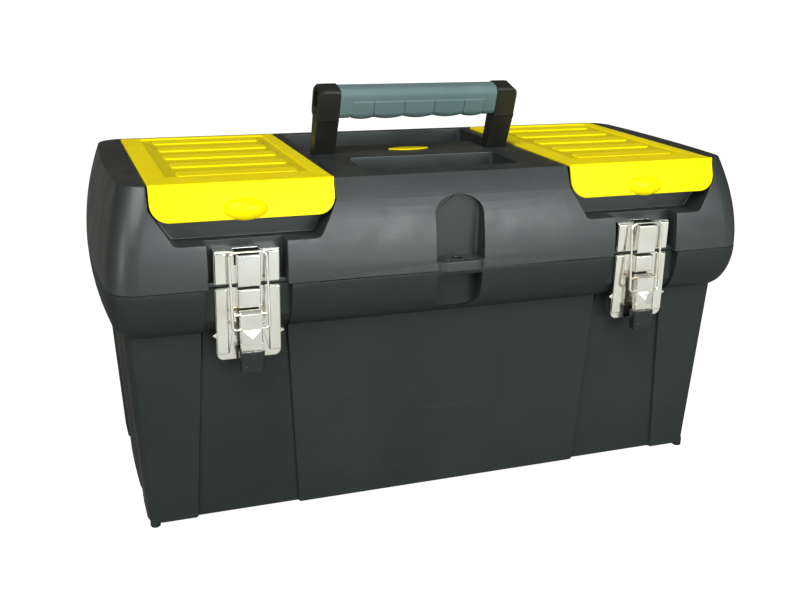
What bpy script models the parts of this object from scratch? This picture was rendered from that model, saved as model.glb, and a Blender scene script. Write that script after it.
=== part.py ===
# Carpenter's toolbox, 24 inch class: a vaulted lid on a deep tub, closed by two draw latches.
# Metres, +Z up, origin at the middle of the footprint. -Y is the front, where the latches are.
import bpy
import bmesh
import math
from mathutils import Matrix, Vector

# ---------- driving dimensions ----------
GAP = 0.0003                    # air between pieces that touch
WALL = 0.0028                   # moulded wall
HALF_LENGTH = 0.305             # widest, at the parting line
HALF_DEPTH = 0.140
FOOT_HEIGHT = 0.004
CHANNEL_FOOT = 0.007            # underside of the tub between its blocks
BELT_Z = 0.181                  # lower edge of the bulging belt
PARTING_Z = 0.224
LID_TOP_Z = 0.3078
END_BOW = 0.004                 # the ends bulge outwards a little in plan

TUB_FOOT_HALF = (0.2775, 0.1140)      # half length and half depth of the tub at its foot
TUB_BELT_HALF = (0.2880, 0.1170)      # the same just under the belt
LID_TOP_HALF = (0.2850, 0.1190)       # the same at the lid's top crease

LATCH_X = 0.188
PLATE_HALF_WIDTH = 0.02715
SHEET = 0.0012
PLATE_Y = -0.1318               # back of both latch plates
CHANNEL_HALF = (0.0457, 0.0362)       # half width of a latch channel at the foot and at the belt
CHANNEL_DEPTH = 0.0035
CHANNEL_FLOOR_Y = 0.1307              # floor of the latch channels in the belt
BLOCK_DEPTH = 0.042                   # corner blocks on the ends, along Y
WALL_CORNER = 0.013
BELT_CORNER = 0.025
LEVER_PIVOT = (-0.1405, 0.2015)       # y, z
BAIL_PIVOT = (-0.1437, 0.1895)
BAIL_TOP_Z = 0.2555
BAIL_HALF = 0.0155
WIRE_RADIUS = 0.00125
LATCH_PLATE_Z = (0.1605, 0.2230)
KEEPER_Z = (0.2262, 0.2540)
HOOK_FRONT_Y = -0.1418
LEVER_HALF = 0.0090
LEVER_NOSE_Y = -0.1478
LEVER_LENGTH = 0.0310                 # from the pivot down to where the tip covers it
TIP_HALF = 0.0106
TIP_Z = (0.1510, 0.1702)
TONGUE_Y = (-0.1440, -0.1416)         # blade of the lever that the tip is pushed onto
PIN_RADIUS = 0.0015

HINGE_Y = 0.145
HINGE_Z = 0.219
KNUCKLE_RADIUS = 0.004
KNUCKLE_X = (0.0072, 0.0170)          # the tub's outer knuckles, from the hinge's middle
LID_KNUCKLE_HALF = 0.0065
HINGE_PIN_RADIUS = 0.0020
HINGE_PIN_HALF = 0.0185
HINGE_BORE_RADIUS = 0.0024

HANDLE_PIVOT = (-0.004, 0.304)        # y, z
HANDLE_LEAN = math.radians(16)
LEG_INNER = 0.0780
LEG_OUTER = 0.0990
HANDLE_HEIGHT = 0.0705
LEG_HALF = 0.006                      # half the leg's thickness, along Y
HEAD_HALF = 0.0105                    # half the thickness of the leg heads and of the grip
HEAD_LOW = 0.0405                     # underside of the heads above the pivot
CORE_HALF = 0.005                     # the bar inside the grip
CORE_RISE = (0.048, 0.065)
TRUNNION_RADIUS = 0.0040

FLAP_INNER = 0.1113             # organizer lid, along X
FLAP_OUTER = 0.2631
FLAP_FRONT = -0.1226
FLAP_REAR = 0.1078
FLAP_TOP_Z = 0.3092
FLAP_SHEET = 0.0024
FLAP_HINGE = (0.1045, 0.3040)         # y, z
FLANGE_BOTTOM_Z = 0.2800
WELL_FLOOR_Z = 0.272
FLAP_PANEL_Y = (-0.0930, 0.1010)      # the sunk, ribbed panel
RIB_COUNT = 5
RIB_PITCH = 0.0405
RIB_HALF = 0.0105
BARREL_RADIUS = 0.0030
BARREL_LENGTH = 0.0140
STUB_RADIUS = 0.0017
FOOT_PLACE = (0.2715, 0.1080)
FOOT_RADIUS = 0.0045

FRONT_Y = -0.160                # cutters start this far in front
ABOVE_Z = 0.330                 # and end this high
SIDES = (("left", -1), ("right", 1))

# ---------- clean start ----------
for old in list(bpy.data.objects):
    bpy.data.objects.remove(old, do_unlink=True)

parts = bpy.data.collections.new("carpenter_toolbox")
cutters = bpy.data.collections.new("cutters")
bpy.context.scene.collection.children.link(parts)
bpy.context.scene.collection.children.link(cutters)


# ---------- helpers ----------
def make_material(name, colour, roughness, metallic=0.0):
    material = bpy.data.materials.new(name)
    material.use_nodes = True
    shader = material.node_tree.nodes["Principled BSDF"]
    shader.inputs["Base Color"].default_value = (*colour, 1.0)
    shader.inputs["Roughness"].default_value = roughness
    shader.inputs["Metallic"].default_value = metallic
    return material


def object_from(bm, name):
    """Turn a finished bmesh into an object in the parts collection."""
    bmesh.ops.recalc_face_normals(bm, faces=bm.faces)
    mesh = bpy.data.meshes.new(name)
    bm.to_mesh(mesh)
    bm.free()
    obj = bpy.data.objects.new(name, mesh)
    parts.objects.link(obj)
    return obj


def finish(obj, material, angle=35):
    obj.data.materials.append(material)
    obj.data.shade_smooth()
    obj.data.set_sharp_from_angle(angle=math.radians(angle))
    return obj


def box(name, x, y, z, taper=0.0, bevel=0.0, segments=1):
    """A box between two values on each axis; taper draws the lower face in on all sides."""
    bm = bmesh.new()
    bmesh.ops.create_cube(bm, size=1.0)
    size = Vector((x[1] - x[0], y[1] - y[0], z[1] - z[0]))
    centre = Vector((x[0] + x[1], y[0] + y[1], z[0] + z[1])) / 2
    for vertex in bm.verts:
        inward = taper if vertex.co.z < 0 else 0.0
        vertex.co.x *= size.x - 2 * inward
        vertex.co.y *= size.y - 2 * inward
        vertex.co.z *= size.z
        vertex.co += centre
    if bevel:
        bmesh.ops.bevel(bm, geom=bm.edges[:], offset=bevel, segments=segments, profile=0.5,
                        affect="EDGES", clamp_overlap=True)
    return object_from(bm, name)


def rod(name, radius, x, y, z, sides=20):
    """A cylinder along X between two x values."""
    bm = bmesh.new()
    turn = Matrix.Rotation(math.pi / 2, 4, "Y")
    place = Matrix.Translation(((x[0] + x[1]) / 2, y, z))
    bmesh.ops.create_cone(bm, cap_ends=True, segments=sides, radius1=radius, radius2=radius,
                          depth=abs(x[1] - x[0]), matrix=place @ turn)
    return object_from(bm, name)


def post(name, radius, x, y, z, sides=20):
    """A cylinder along Z between two z values."""
    bm = bmesh.new()
    place = Matrix.Translation((x, y, (z[0] + z[1]) / 2))
    bmesh.ops.create_cone(bm, cap_ends=True, segments=sides, radius1=radius, radius2=radius,
                          depth=z[1] - z[0], matrix=place)
    return object_from(bm, name)


def prism(name, outline, axis, low, high):
    """A flat outline pushed along Y or X; the outline holds (x, z) or (y, z) pairs."""
    bm = bmesh.new()
    if axis == "Y":
        verts = [bm.verts.new((a, low, b)) for a, b in outline]
        push = Vector((0, high - low, 0))
    else:
        verts = [bm.verts.new((low, a, b)) for a, b in outline]
        push = Vector((high - low, 0, 0))
    face = bm.faces.new(verts)
    moved = bmesh.ops.extrude_face_region(bm, geom=[face])
    new_verts = [item for item in moved["geom"] if isinstance(item, bmesh.types.BMVert)]
    bmesh.ops.translate(bm, verts=new_verts, vec=push)
    return object_from(bm, name)


def combine(target, tool, operation):
    """Cut or join the tool with a live Boolean, and put the tool away with the cutters."""
    for collection in list(tool.users_collection):
        collection.objects.unlink(tool)
    cutters.objects.link(tool)
    tool.hide_render = True
    tool.display_type = "WIRE"
    modifier = target.modifiers.new(operation.lower(), "BOOLEAN")
    modifier.operation = operation
    modifier.solver = "EXACT"
    modifier.object = tool


def cut(target, tool):
    combine(target, tool, "DIFFERENCE")


def join(target, tool):
    combine(target, tool, "UNION")


def pivot(name, location, pieces, lean=0.0):
    """Hang pieces on an empty that stands on their joint's axis, keeping where they are."""
    empty = bpy.data.objects.new(name, None)
    empty.location = location
    parts.objects.link(empty)
    keep = Matrix.Translation(location).inverted()
    empty.rotation_euler = (lean, 0, 0)
    for piece in pieces:
        piece.parent = empty
        piece.matrix_parent_inverse = keep
    return empty


# ---------- the shell sections ----------
def wall_half(z):
    """Half length and half depth of the drafted tub walls, below the belt."""
    t = (z - FOOT_HEIGHT) / (BELT_Z - FOOT_HEIGHT)
    return [a + (b - a) * t for a, b in zip(TUB_FOOT_HALF, TUB_BELT_HALF)]


def belt_section(degrees, inset):
    """Height and half sizes on the quarter-round belt, 90 at its foot and 0 at the parting line,
    moved inwards along its own normal by inset."""
    angle = math.radians(degrees)
    height = PARTING_Z - BELT_Z
    depth = HALF_DEPTH - TUB_BELT_HALF[1]
    length = HALF_LENGTH - END_BOW - TUB_BELT_HALF[0]
    normal = Vector((math.cos(angle) / depth, math.sin(angle) / height)).normalized()
    z = PARTING_Z - height * math.sin(angle) + inset * normal.y
    half_x = TUB_BELT_HALF[0] + length * math.cos(angle) - inset * normal.x
    half_y = TUB_BELT_HALF[1] + depth * math.cos(angle) - inset * normal.x
    return z, half_x, half_y


def lid_half(z):
    """Half length and half depth of the lid: it bulges, steepest near the top."""
    t = (z - PARTING_Z) / (LID_TOP_Z - PARTING_Z)
    x = HALF_LENGTH - END_BOW - (HALF_LENGTH - END_BOW - LID_TOP_HALF[0]) * t ** 1.7
    y = HALF_DEPTH - (HALF_DEPTH - LID_TOP_HALF[1]) * t ** 2.2
    return [x, y]


def corner_points(cx, cy, radius, start, steps):
    points = []
    for i in range(steps + 1):
        angle = math.radians(start + 90 * i / steps)
        points.append((cx + radius * math.cos(angle), cy + radius * math.sin(angle)))
    return points


def side_points(half_y, channel_half, inset, depth):
    """Points along the front from left to right, stepping back at the two latch channels."""
    slope = 0.002
    points = []
    for centre in (-LATCH_X, LATCH_X):
        reach = channel_half + inset
        points.append((centre - reach, -half_y))
        points.append((centre - reach + slope, -half_y + depth))
        points.append((centre + reach - slope, -half_y + depth))
        points.append((centre + reach, -half_y))
    return points


def tub_ring(z, hx, hy, in_belt, inset):
    """One section of the tub, counter-clockwise from the front left. Its half sizes are drawn in
    already; inset keeps the wall even where the section steps."""
    t = min(1.0, (z - FOOT_HEIGHT) / (BELT_Z - FOOT_HEIGHT))
    channel_half = CHANNEL_HALF[0] + (CHANNEL_HALF[1] - CHANNEL_HALF[0]) * t
    front_depth = max(CHANNEL_DEPTH, hy - CHANNEL_FLOOR_Y + inset)
    other_depth = 0.0 if in_belt else CHANNEL_DEPTH
    r = (BELT_CORNER if in_belt else WALL_CORNER) - inset
    ring = corner_points(-hx + r, -hy + r, r, 180, 4)
    ring += side_points(hy, channel_half, inset, front_depth)
    ring += corner_points(hx - r, -hy + r, r, 270, 4)
    ring += end_points(hx, hy, other_depth, inset)
    ring += corner_points(hx - r, hy - r, r, 0, 4)
    ring += [(-x, -y) for x, y in side_points(hy, channel_half, inset, other_depth)]
    ring += corner_points(-hx + r, hy - r, r, 90, 4)
    ring += [(-x, -y) for x, y in end_points(hx, hy, other_depth, inset)]
    return [Vector((x, y, z)) for x, y in ring]


def tub_rings(bottom, inset):
    """Every section of the tub's outer skin, or of its inner one, from the bottom up."""
    rings = []
    for z, lift in ((bottom, 0.0), (BELT_Z, inset)):
        half_x, half_y = wall_half(z)
        rings.append(tub_ring(z + lift, half_x - inset, half_y - inset, False, inset))
    for degrees in (82, 68, 54, 40, 26, 12, 0):
        z, half_x, half_y = belt_section(degrees, inset)
        rings.append(tub_ring(z, half_x, half_y, True, inset))
    return rings


def end_points(hx, hy, depth, inset):
    """Points up the right-hand end, stepping in between the corner blocks, and bowed."""
    edge = hy + 2 * inset - BLOCK_DEPTH
    points = [(hx, -edge), (hx - depth, -edge + 0.002)]
    for share in (-0.5, 0.0, 0.5):
        bow = END_BOW * (1 - (share * edge / hy) ** 2)
        points.append((hx - depth + bow, share * edge))
    points += [(hx - depth, edge - 0.002), (hx, edge)]
    return points


def lid_ring(z, inset=0.0, shrink=0.0):
    half_x, half_y = lid_half(z)
    hx = half_x - inset - shrink
    hy = half_y - inset - shrink
    r = 0.026 - inset
    ring = corner_points(-hx + r, -hy + r, r, 180, 6)
    ring += corner_points(hx - r, -hy + r, r, 270, 6)
    ring += [(hx + END_BOW * (1 - s * s), s * (hy - r)) for s in (-0.6, -0.2, 0.2, 0.6)]
    ring += corner_points(hx - r, hy - r, r, 0, 6)
    ring += corner_points(-hx + r, hy - r, r, 90, 6)
    ring += [(-hx - END_BOW * (1 - s * s), s * (hy - r)) for s in (0.6, 0.2, -0.2, -0.6)]
    return [Vector((x, y, z)) for x, y in ring]


def solid_from_rings(name, rings):
    """A closed loft: unlike sections joined ring by ring, with a flat face at each end."""
    bm = bmesh.new()
    loops = [[bm.verts.new(point) for point in ring] for ring in rings]
    count = len(loops[0])
    for lower, upper in zip(loops, loops[1:]):
        for i in range(count):
            j = (i + 1) % count
            bm.faces.new((lower[i], lower[j], upper[j], upper[i]))
    bmesh.ops.triangulate(bm, faces=bm.faces[:])      # the side faces aren't flat, so split them
    bm.faces.new(list(reversed(loops[0])))
    bm.faces.new(loops[-1])
    return object_from(bm, name)


# ---------- tub ----------
RIM_Z = PARTING_Z - GAP / 2
SILL_Z = PARTING_Z + GAP / 2
HASP_HALF = 0.0225              # padlock recess, along X
HASP_BACK_Y = -0.123
HASP_HOLE = (0.0, -0.1310)      # x, y
HASP_HOLE_RADIUS = 0.0045


def shield(half, top, bottom, corner):
    """Outline of the padlock recess in the belt: square above, rounded at the bottom."""
    points = [(-half, top)]
    for i in range(5):
        a = math.radians(180 + 22.5 * i)
        points.append((-half + corner + corner * math.cos(a), bottom + corner + corner * math.sin(a)))
    for i in range(5):
        a = math.radians(270 + 22.5 * i)
        points.append((half - corner + corner * math.cos(a), bottom + corner + corner * math.sin(a)))
    points.append((half, top))
    return points


def build_tub(material):
    outer = tub_rings(FOOT_HEIGHT, 0.0)
    for point in outer[-1]:
        point.z = RIM_Z
    tub = solid_from_rings("tub", outer)
    inner = tub_rings(CHANNEL_FOOT + WALL, WALL)
    for point in inner[-1]:
        point.z = PARTING_Z + 0.003
    cavity = solid_from_rings("tub_cavity", inner)
    cut(cavity, box("hasp_boss", (-HASP_HALF - WALL, HASP_HALF + WALL),
                    (FRONT_Y, HASP_BACK_Y + WALL), (0.1840, PARTING_Z + 0.01)))
    for _, side in SIDES:
        x = side * LATCH_X
        join(tub, box("plate_pad", (x - 0.024, x + 0.024), (PLATE_Y + GAP, -0.1120),
                      (BELT_Z + 0.0002, RIM_Z - 0.0006)))
    cut(tub, cavity)
    for _, side in SIDES:
        x = side * LATCH_X
        half = CHANNEL_HALF[0] - 0.001
        for name, y in (("front", (-0.150, -0.098)), ("rear", (0.098, 0.150))):
            cut(tub, box(f"foot_step_{name}", (x - half, x + half), y, (-0.010, CHANNEL_FOOT)))
        build_tub_knuckles(tub, x)
    recess = shield(HASP_HALF - 0.0015, 0.2200, 0.1870, 0.012)
    cut(tub, prism("hasp_recess", recess, "Y", FRONT_Y, HASP_BACK_Y))
    cut(tub, post("hasp_hole_tub", HASP_HOLE_RADIUS, *HASP_HOLE, (0.2150, 0.2300)))
    for _, end in SIDES:
        for _, face in SIDES:
            place = (end * FOOT_PLACE[0], face * FOOT_PLACE[1])
            join(tub, post("foot", FOOT_RADIUS, *place, (0.0, 2 * FOOT_HEIGHT), 12))
    return finish(tub, material)


def build_tub_knuckles(tub, x):
    for _, side in SIDES:
        span = tuple(sorted(x + side * edge for edge in KNUCKLE_X))
        join(tub, box("knuckle_arm", (span[0] + 0.0002, span[1] - 0.0002),
                      (0.1345, HINGE_Y + 0.0012), (0.2120, 0.2227)))
        join(tub, rod("knuckle", KNUCKLE_RADIUS, span, HINGE_Y, HINGE_Z, 16))
        cut(tub, rod("pin_bore", HINGE_BORE_RADIUS, (span[0] - 0.002, span[1] + 0.002), HINGE_Y, HINGE_Z, 16))


# ---------- lid ----------
POCKET_HALF = 0.0330            # latch pocket, along X
POCKET_BACK_Y = -0.1200
POCKET_TOP_Z = 0.2612           # also the ledge of the finger recess
RECESS_BACK_Y = -0.1110
WELL_X = (0.1165, 0.2580)
WELL_Y = (-0.1082, 0.0985)
REBATE_Z = FLAP_TOP_Z - FLAP_SHEET - GAP
FRONT_TROUGH = ((-0.0740, 0.0740), (-0.0950, -0.0350), 0.2830)
REAR_TROUGH = ((-0.1010, 0.1010), (0.0300, 0.1090), 0.2860)
SLOT_X = (0.0775, 0.1000)


def recess_outline(side, grow):
    """The finger recess under an organizer lid: wide at the lid's top, narrow at its ledge."""
    low = POCKET_TOP_Z - grow
    slope_top = 0.2900
    inner_top = FLAP_INNER - 0.0012 - grow
    outer_top = FLAP_OUTER + 0.0012 + grow
    points = [(inner_top, ABOVE_Z), (inner_top, slope_top), (0.1260 - grow, low),
              (0.2460 + grow, low), (outer_top, slope_top), (outer_top, ABOVE_Z)]
    return [(side * x, z) for x, z in points]


def arch(half, bottom, top):
    """Padlock niche outline: straight sides under a half-oval head."""
    rise = 0.016
    points = [(half, bottom)]
    for i in range(9):
        a = math.pi * i / 8
        points.append((half * math.cos(a), top - rise + rise * math.sin(a)))
    points.append((-half, bottom))
    return points


def side_span(side, span):
    return tuple(sorted((side * span[0], side * span[1])))


def lid_bosses(cavity):
    """Keep a wall of plastic behind everything that is sunk into the lid."""
    for _, side in SIDES:
        well_x = (WELL_X[0] - 0.0055, FLAP_OUTER + 0.0065)
        cut(cavity, box("well_boss", side_span(side, well_x),
                        (WELL_Y[0] - 0.0002, FLAP_REAR + 0.0075), (WELL_FLOOR_Z - WALL, ABOVE_Z)))
        cut(cavity, prism("recess_boss", recess_outline(side, WALL), "Y", FRONT_Y, WELL_Y[0] + 0.0001))
        x = side * LATCH_X
        half = POCKET_HALF + WALL
        cut(cavity, box("pocket_boss", (x - half, x + half), (FRONT_Y, POCKET_BACK_Y + WALL),
                        (0.200, POCKET_TOP_Z + 0.001)))
        trunnion = box("trunnion_boss", side_span(side, (LEG_OUTER + 0.0011, 0.1115)),
                       (-0.018, 0.006), (0.292, ABOVE_Z))
        cut(cavity, trunnion)
        cut(cavity, box("trunnion_inner", side_span(side, (0.0690, LEG_INNER + 0.0001)),
                        (-0.018, 0.006), (0.292, ABOVE_Z)))
    cut(cavity, box("niche_boss", (-HASP_HALF - WALL, HASP_HALF + WALL),
                    (FRONT_Y, HASP_BACK_Y + WALL), (0.200, 0.2925)))
    (x, y, floor) = FRONT_TROUGH
    cut(cavity, box("front_boss", (x[0] - WALL, x[1] + WALL), (y[0] - WALL, y[1] + WALL),
                    (floor - WALL, ABOVE_Z), taper=0.003))
    (x, y, floor) = REAR_TROUGH
    cut(cavity, box("rear_boss", (x[0] - WALL, x[1] + WALL), (y[0] - WALL, y[1] + WALL),
                    (floor - WALL, ABOVE_Z), taper=0.001))
    cut(cavity, box("slot_boss", (-0.1040, 0.1040), (-0.0160, 0.0400), (0.2925, ABOVE_Z)))


def build_lid(material):
    heights = [SILL_Z, 0.2380, 0.2520, 0.2650, 0.2770, 0.2870, 0.2950, 0.3010, 0.3060]
    rings = [lid_ring(z) for z in heights] + [lid_ring(LID_TOP_Z, shrink=0.0008)]
    lid = solid_from_rings("lid", rings)
    inner = [0.2400, 0.2520, 0.2650, 0.2770, 0.2870, 0.2950, LID_TOP_Z - WALL]
    rings = [lid_ring(z, WALL) for z in inner]
    mouth = [Vector((p.x, p.y, 0.2150)) for p in lid_ring(PARTING_Z, WALL)]
    cavity = solid_from_rings("lid_cavity", [mouth] + rings)
    lid_bosses(cavity)
    cut(lid, cavity)
    for name, side in SIDES:
        build_lid_well(lid, side)
        build_latch_pocket(lid, side * LATCH_X)
        build_lid_knuckle(lid, side * LATCH_X)
        cut(lid, box("leg_slot", side_span(side, SLOT_X), (-0.0125, 0.0320), (0.2960, ABOVE_Z)))
    for (x, y, floor), taper in ((FRONT_TROUGH, 0.006), (REAR_TROUGH, 0.001)):
        cut(lid, box("trough", x, y, (floor, ABOVE_Z), taper=taper))
    cut(lid, rod("trunnion_bore", TRUNNION_RADIUS + 0.0004, (-0.1045, 0.1045), *HANDLE_PIVOT, 20))
    cut(lid, prism("niche", arch(HASP_HALF, 0.2325, 0.2895), "Y", FRONT_Y, HASP_BACK_Y))
    cut(lid, post("hasp_hole_lid", HASP_HOLE_RADIUS, *HASP_HOLE, (0.2200, 0.2400)))
    cut(lid, box("badge_seat", (-0.0212, 0.0212), (-0.0072, 0.0072), (LID_TOP_Z - 0.0012, 0.320)))
    return finish(lid, material)


def build_lid_well(lid, side):
    rebate_x = side_span(side, (FLAP_INNER - 0.0004, FLAP_OUTER + 0.0004))
    cut(lid, box("rebate", rebate_x, (FRONT_Y, FLAP_REAR + 0.0004), (REBATE_Z, ABOVE_Z)))
    gutter = box("gutter", rebate_x, (FLAP_HINGE[0] - 0.0045, FLAP_REAR + 0.0042), (0.2970, ABOVE_Z))
    cut(lid, gutter)
    cut(lid, prism("finger_recess", recess_outline(side, 0.0), "Y", FRONT_Y, RECESS_BACK_Y))
    cut(lid, box("well", side_span(side, WELL_X), WELL_Y, (WELL_FLOOR_Z, ABOVE_Z), taper=0.001))
    middle = side * sum(WELL_X) / 2
    join(lid, box("divider_long", (middle - 0.001, middle + 0.001),
                  (WELL_Y[0] - 0.001, WELL_Y[1] + 0.001), (WELL_FLOOR_Z - 0.001, 0.2960)))
    across = (WELL_X[0] - 0.0005, WELL_X[1] + 0.0005)
    join(lid, box("divider_across", side_span(side, across), (-0.011, -0.009),
                  (WELL_FLOOR_Z - 0.001, 0.2950)))
    sockets = side_span(side, (FLAP_INNER - 0.0034, FLAP_OUTER + 0.0034))
    cut(lid, rod("flap_socket", 0.0022, sockets, *FLAP_HINGE, 14))


def build_latch_pocket(lid, x):
    cut(lid, box("pocket", (x - POCKET_HALF, x + POCKET_HALF), (FRONT_Y, POCKET_BACK_Y),
                 (0.2280, POCKET_TOP_Z + 0.002)))
    cut(lid, box("sill_face", (x - POCKET_HALF - 0.0002, x + POCKET_HALF + 0.0002),
                 (FRONT_Y, PLATE_Y + GAP), (0.2200, 0.2290)))


def build_lid_knuckle(lid, x):
    span = (x - LID_KNUCKLE_HALF, x + LID_KNUCKLE_HALF)
    join(lid, box("lid_arm_upper", span, (0.1345, HINGE_Y + KNUCKLE_RADIUS - 0.0002), (0.2248, 0.2320)))
    join(lid, box("lid_arm_lower", span, (0.1413, HINGE_Y + KNUCKLE_RADIUS - 0.0004), (0.2190, 0.2262)))
    join(lid, rod("lid_knuckle", KNUCKLE_RADIUS - 0.0003, span, HINGE_Y, HINGE_Z, 16))
    cut(lid, rod("lid_bore", HINGE_BORE_RADIUS, (x - 0.009, x + 0.009), HINGE_Y, HINGE_Z, 16))


def build_hinge_pin(name, x, material):
    span = (x - HINGE_PIN_HALF, x + HINGE_PIN_HALF)
    return finish(rod(name, HINGE_PIN_RADIUS, span, HINGE_Y, HINGE_Z, 16), material)


# ---------- organizer lids ----------
def build_flap(name, side, material):
    """A flip lid: a ribbed plate, a deep front flange with a thumb tab, and rear pivots."""
    x = side_span(side, (FLAP_INNER, FLAP_OUTER))
    flap = box(name, x, (FLAP_FRONT, FLAP_REAR), (FLAP_TOP_Z - FLAP_SHEET, FLAP_TOP_Z))
    middle = (x[0] + x[1]) / 2
    half = (x[1] - x[0]) / 2
    join(flap, flange_blank(half, middle))
    tab = box("thumb_tab", (middle - 0.0170, middle + 0.0170), (-0.1370, -0.1270),
              (FLANGE_BOTTOM_Z - 0.0015, 0.2960), taper=0.002, bevel=0.0045, segments=2)
    join(flap, tab)
    cut(flap, box("panel", (x[0] + 0.018, x[1] - 0.012), FLAP_PANEL_Y,
                  (FLAP_TOP_Z - 0.0011, ABOVE_Z)))
    for i in range(RIB_COUNT):
        y = -0.0800 + RIB_PITCH * i
        join(flap, box("rib", (x[0] + 0.030, x[1] - 0.020), (y - RIB_HALF, y + RIB_HALF),
                       (FLAP_TOP_Z - 0.0016, FLAP_TOP_Z - 0.0002)))
    for low in (x[0] + 0.0002, x[1] - 0.0002 - BARREL_LENGTH):
        span = (low, low + BARREL_LENGTH)
        join(flap, rod("flap_barrel", BARREL_RADIUS, span, *FLAP_HINGE, 16))
        join(flap, box("flap_arm", span, (FLAP_HINGE[0] - 0.0028, FLAP_HINGE[0] + 0.0028),
                       (FLAP_HINGE[1], FLAP_TOP_Z - 0.0010)))
    join(flap, rod("stub_left", STUB_RADIUS, (x[0] - 0.0028, x[0] + 0.004), *FLAP_HINGE, 14))
    join(flap, rod("stub_right", STUB_RADIUS, (x[1] - 0.004, x[1] + 0.0028), *FLAP_HINGE, 14))
    pivot(f"{name}_axis", (middle, *FLAP_HINGE), [flap])
    return finish(flap, material)


def flange_blank(half, middle):
    """The front flange: square at the top, big rounded corners below, sloping outwards."""
    radius = 0.015
    bottom = FLANGE_BOTTOM_Z
    top = FLAP_TOP_Z - 0.0002
    outline = [(middle - half, top)]
    for i in range(5):
        a = math.radians(180 + 22.5 * i)
        outline.append((middle - half + radius * (1 + math.cos(a)), bottom + radius * (1 + math.sin(a))))
    for i in range(5):
        a = math.radians(270 + 22.5 * i)
        outline.append((middle + half + radius * (math.cos(a) - 1), bottom + radius * (1 + math.sin(a))))
    outline.append((middle + half, top))
    flange = prism("flange", outline, "Y", FLAP_FRONT, FLAP_FRONT + 0.0026)
    slope = 0.0095 / (top - bottom)
    for vertex in flange.data.vertices:
        vertex.co.y -= (top - vertex.co.z) * slope
    return flange


# ---------- handle ----------
def build_handle(frame_material, grip_material):
    """Folding bail handle: modelled upright over its pivot, then leant to its forward stop."""
    y0, z0 = HANDLE_PIVOT
    frame = box("handle_frame", (-LEG_INNER - 0.0004, LEG_INNER + 0.0004),
                (y0 - CORE_HALF, y0 + CORE_HALF), (z0 + CORE_RISE[0], z0 + CORE_RISE[1]))
    for _, side in SIDES:
        leg_x = side_span(side, (LEG_INNER, LEG_OUTER))
        join(frame, box("leg", leg_x, (y0 - LEG_HALF, y0 + LEG_HALF), (z0, z0 + 0.060)))
        join(frame, box("leg_head", leg_x, (y0 - HEAD_HALF, y0 + HEAD_HALF),
                        (z0 + HEAD_LOW, z0 + HANDLE_HEIGHT), bevel=0.003))
        join(frame, rod("leg_foot", LEG_HALF - 0.0001, leg_x, y0, z0, 20))
        join(frame, rod("trunnion", TRUNNION_RADIUS, side_span(side, (LEG_INNER - 0.003, LEG_OUTER + 0.0045)),
                        y0, z0, 20))
        cut(frame, box("end_hollow", side_span(side, (LEG_OUTER - 0.008, LEG_OUTER + 0.01)),
                       (y0 - 0.0075, y0 + 0.0075), (z0 + HEAD_LOW + 0.003, z0 + HANDLE_HEIGHT - 0.003)))
    grip = box("handle_grip", (-LEG_INNER + GAP, LEG_INNER - GAP), (y0 - HEAD_HALF, y0 + HEAD_HALF),
               (z0 + HEAD_LOW + 0.0005, z0 + HANDLE_HEIGHT), bevel=0.0060, segments=3)
    cut(grip, box("grip_bore", (-0.09, 0.09), (y0 - CORE_HALF - GAP, y0 + CORE_HALF + GAP),
                  (z0 + CORE_RISE[0] - GAP, z0 + CORE_RISE[1] + GAP)))
    pieces = [frame, grip]
    for piece in (frame, grip):
        pieces += [modifier.object for modifier in piece.modifiers]
    pivot("handle_axis", (0, y0, z0), pieces, HANDLE_LEAN)
    finish(frame, frame_material)
    finish(grip, grip_material)


# ---------- draw latches ----------
def build_latch(name, x, metal, black):
    build_latch_plate(f"latch_plate_{name}", x, metal)
    build_keeper(f"keeper_plate_{name}", x, metal)
    lever = build_lever(f"latch_lever_{name}", x, metal)
    tip = build_lever_tip(f"lever_tip_{name}", x, black)
    bail = build_bail(f"latch_bail_{name}", x, metal)
    pivot(f"lever_axis_{name}", (x, *LEVER_PIVOT), [lever, tip])
    pivot(f"bail_axis_{name}", (x, *BAIL_PIVOT), [bail])
    finish(rod(f"lever_pin_{name}", PIN_RADIUS, (x - 0.0135, x + 0.0135), *LEVER_PIVOT, 14), metal)


def build_latch_plate(name, x, metal):
    y = (PLATE_Y - SHEET, PLATE_Y)
    plate = box(name, (x - PLATE_HALF_WIDTH, x + PLATE_HALF_WIDTH), y, LATCH_PLATE_Z)
    for side in (-1, 1):
        edge = x + side * PLATE_HALF_WIDTH
        span = tuple(sorted((edge, edge - side * SHEET)))
        join(plate, box("plate_side", span, (PLATE_Y - 0.0005, -0.1228), (LATCH_PLATE_Z[0] + 0.0035, 0.1806)))
        wing = tuple(sorted((edge - side * 0.0005, edge + side * 0.0030)))
        join(plate, box("plate_wing", wing, (PLATE_Y - 0.0009, PLATE_Y - 0.0001), (0.1800, 0.1845)))
        ear = tuple(sorted((x + side * 0.0109, x + side * 0.0121)))
        join(plate, box("pin_ear", ear, (-0.1440, PLATE_Y - 0.0005), (0.1975, 0.2055)))
    join(plate, box("plate_rib", (x - 0.0098, x + 0.0098), (-0.1405, PLATE_Y - 0.0005),
                    (0.2068, LATCH_PLATE_Z[1] - 0.0002)))
    cut(plate, rod("ear_bore", PIN_RADIUS + 0.0004, (x - 0.020, x + 0.020), *LEVER_PIVOT, 14))
    cut(plate, box("rib_hollow", (x - 0.0086, x + 0.0086), (-0.1393, PLATE_Y - SHEET),
                   (0.2000, 0.2300)))
    return finish(plate, metal)


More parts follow.
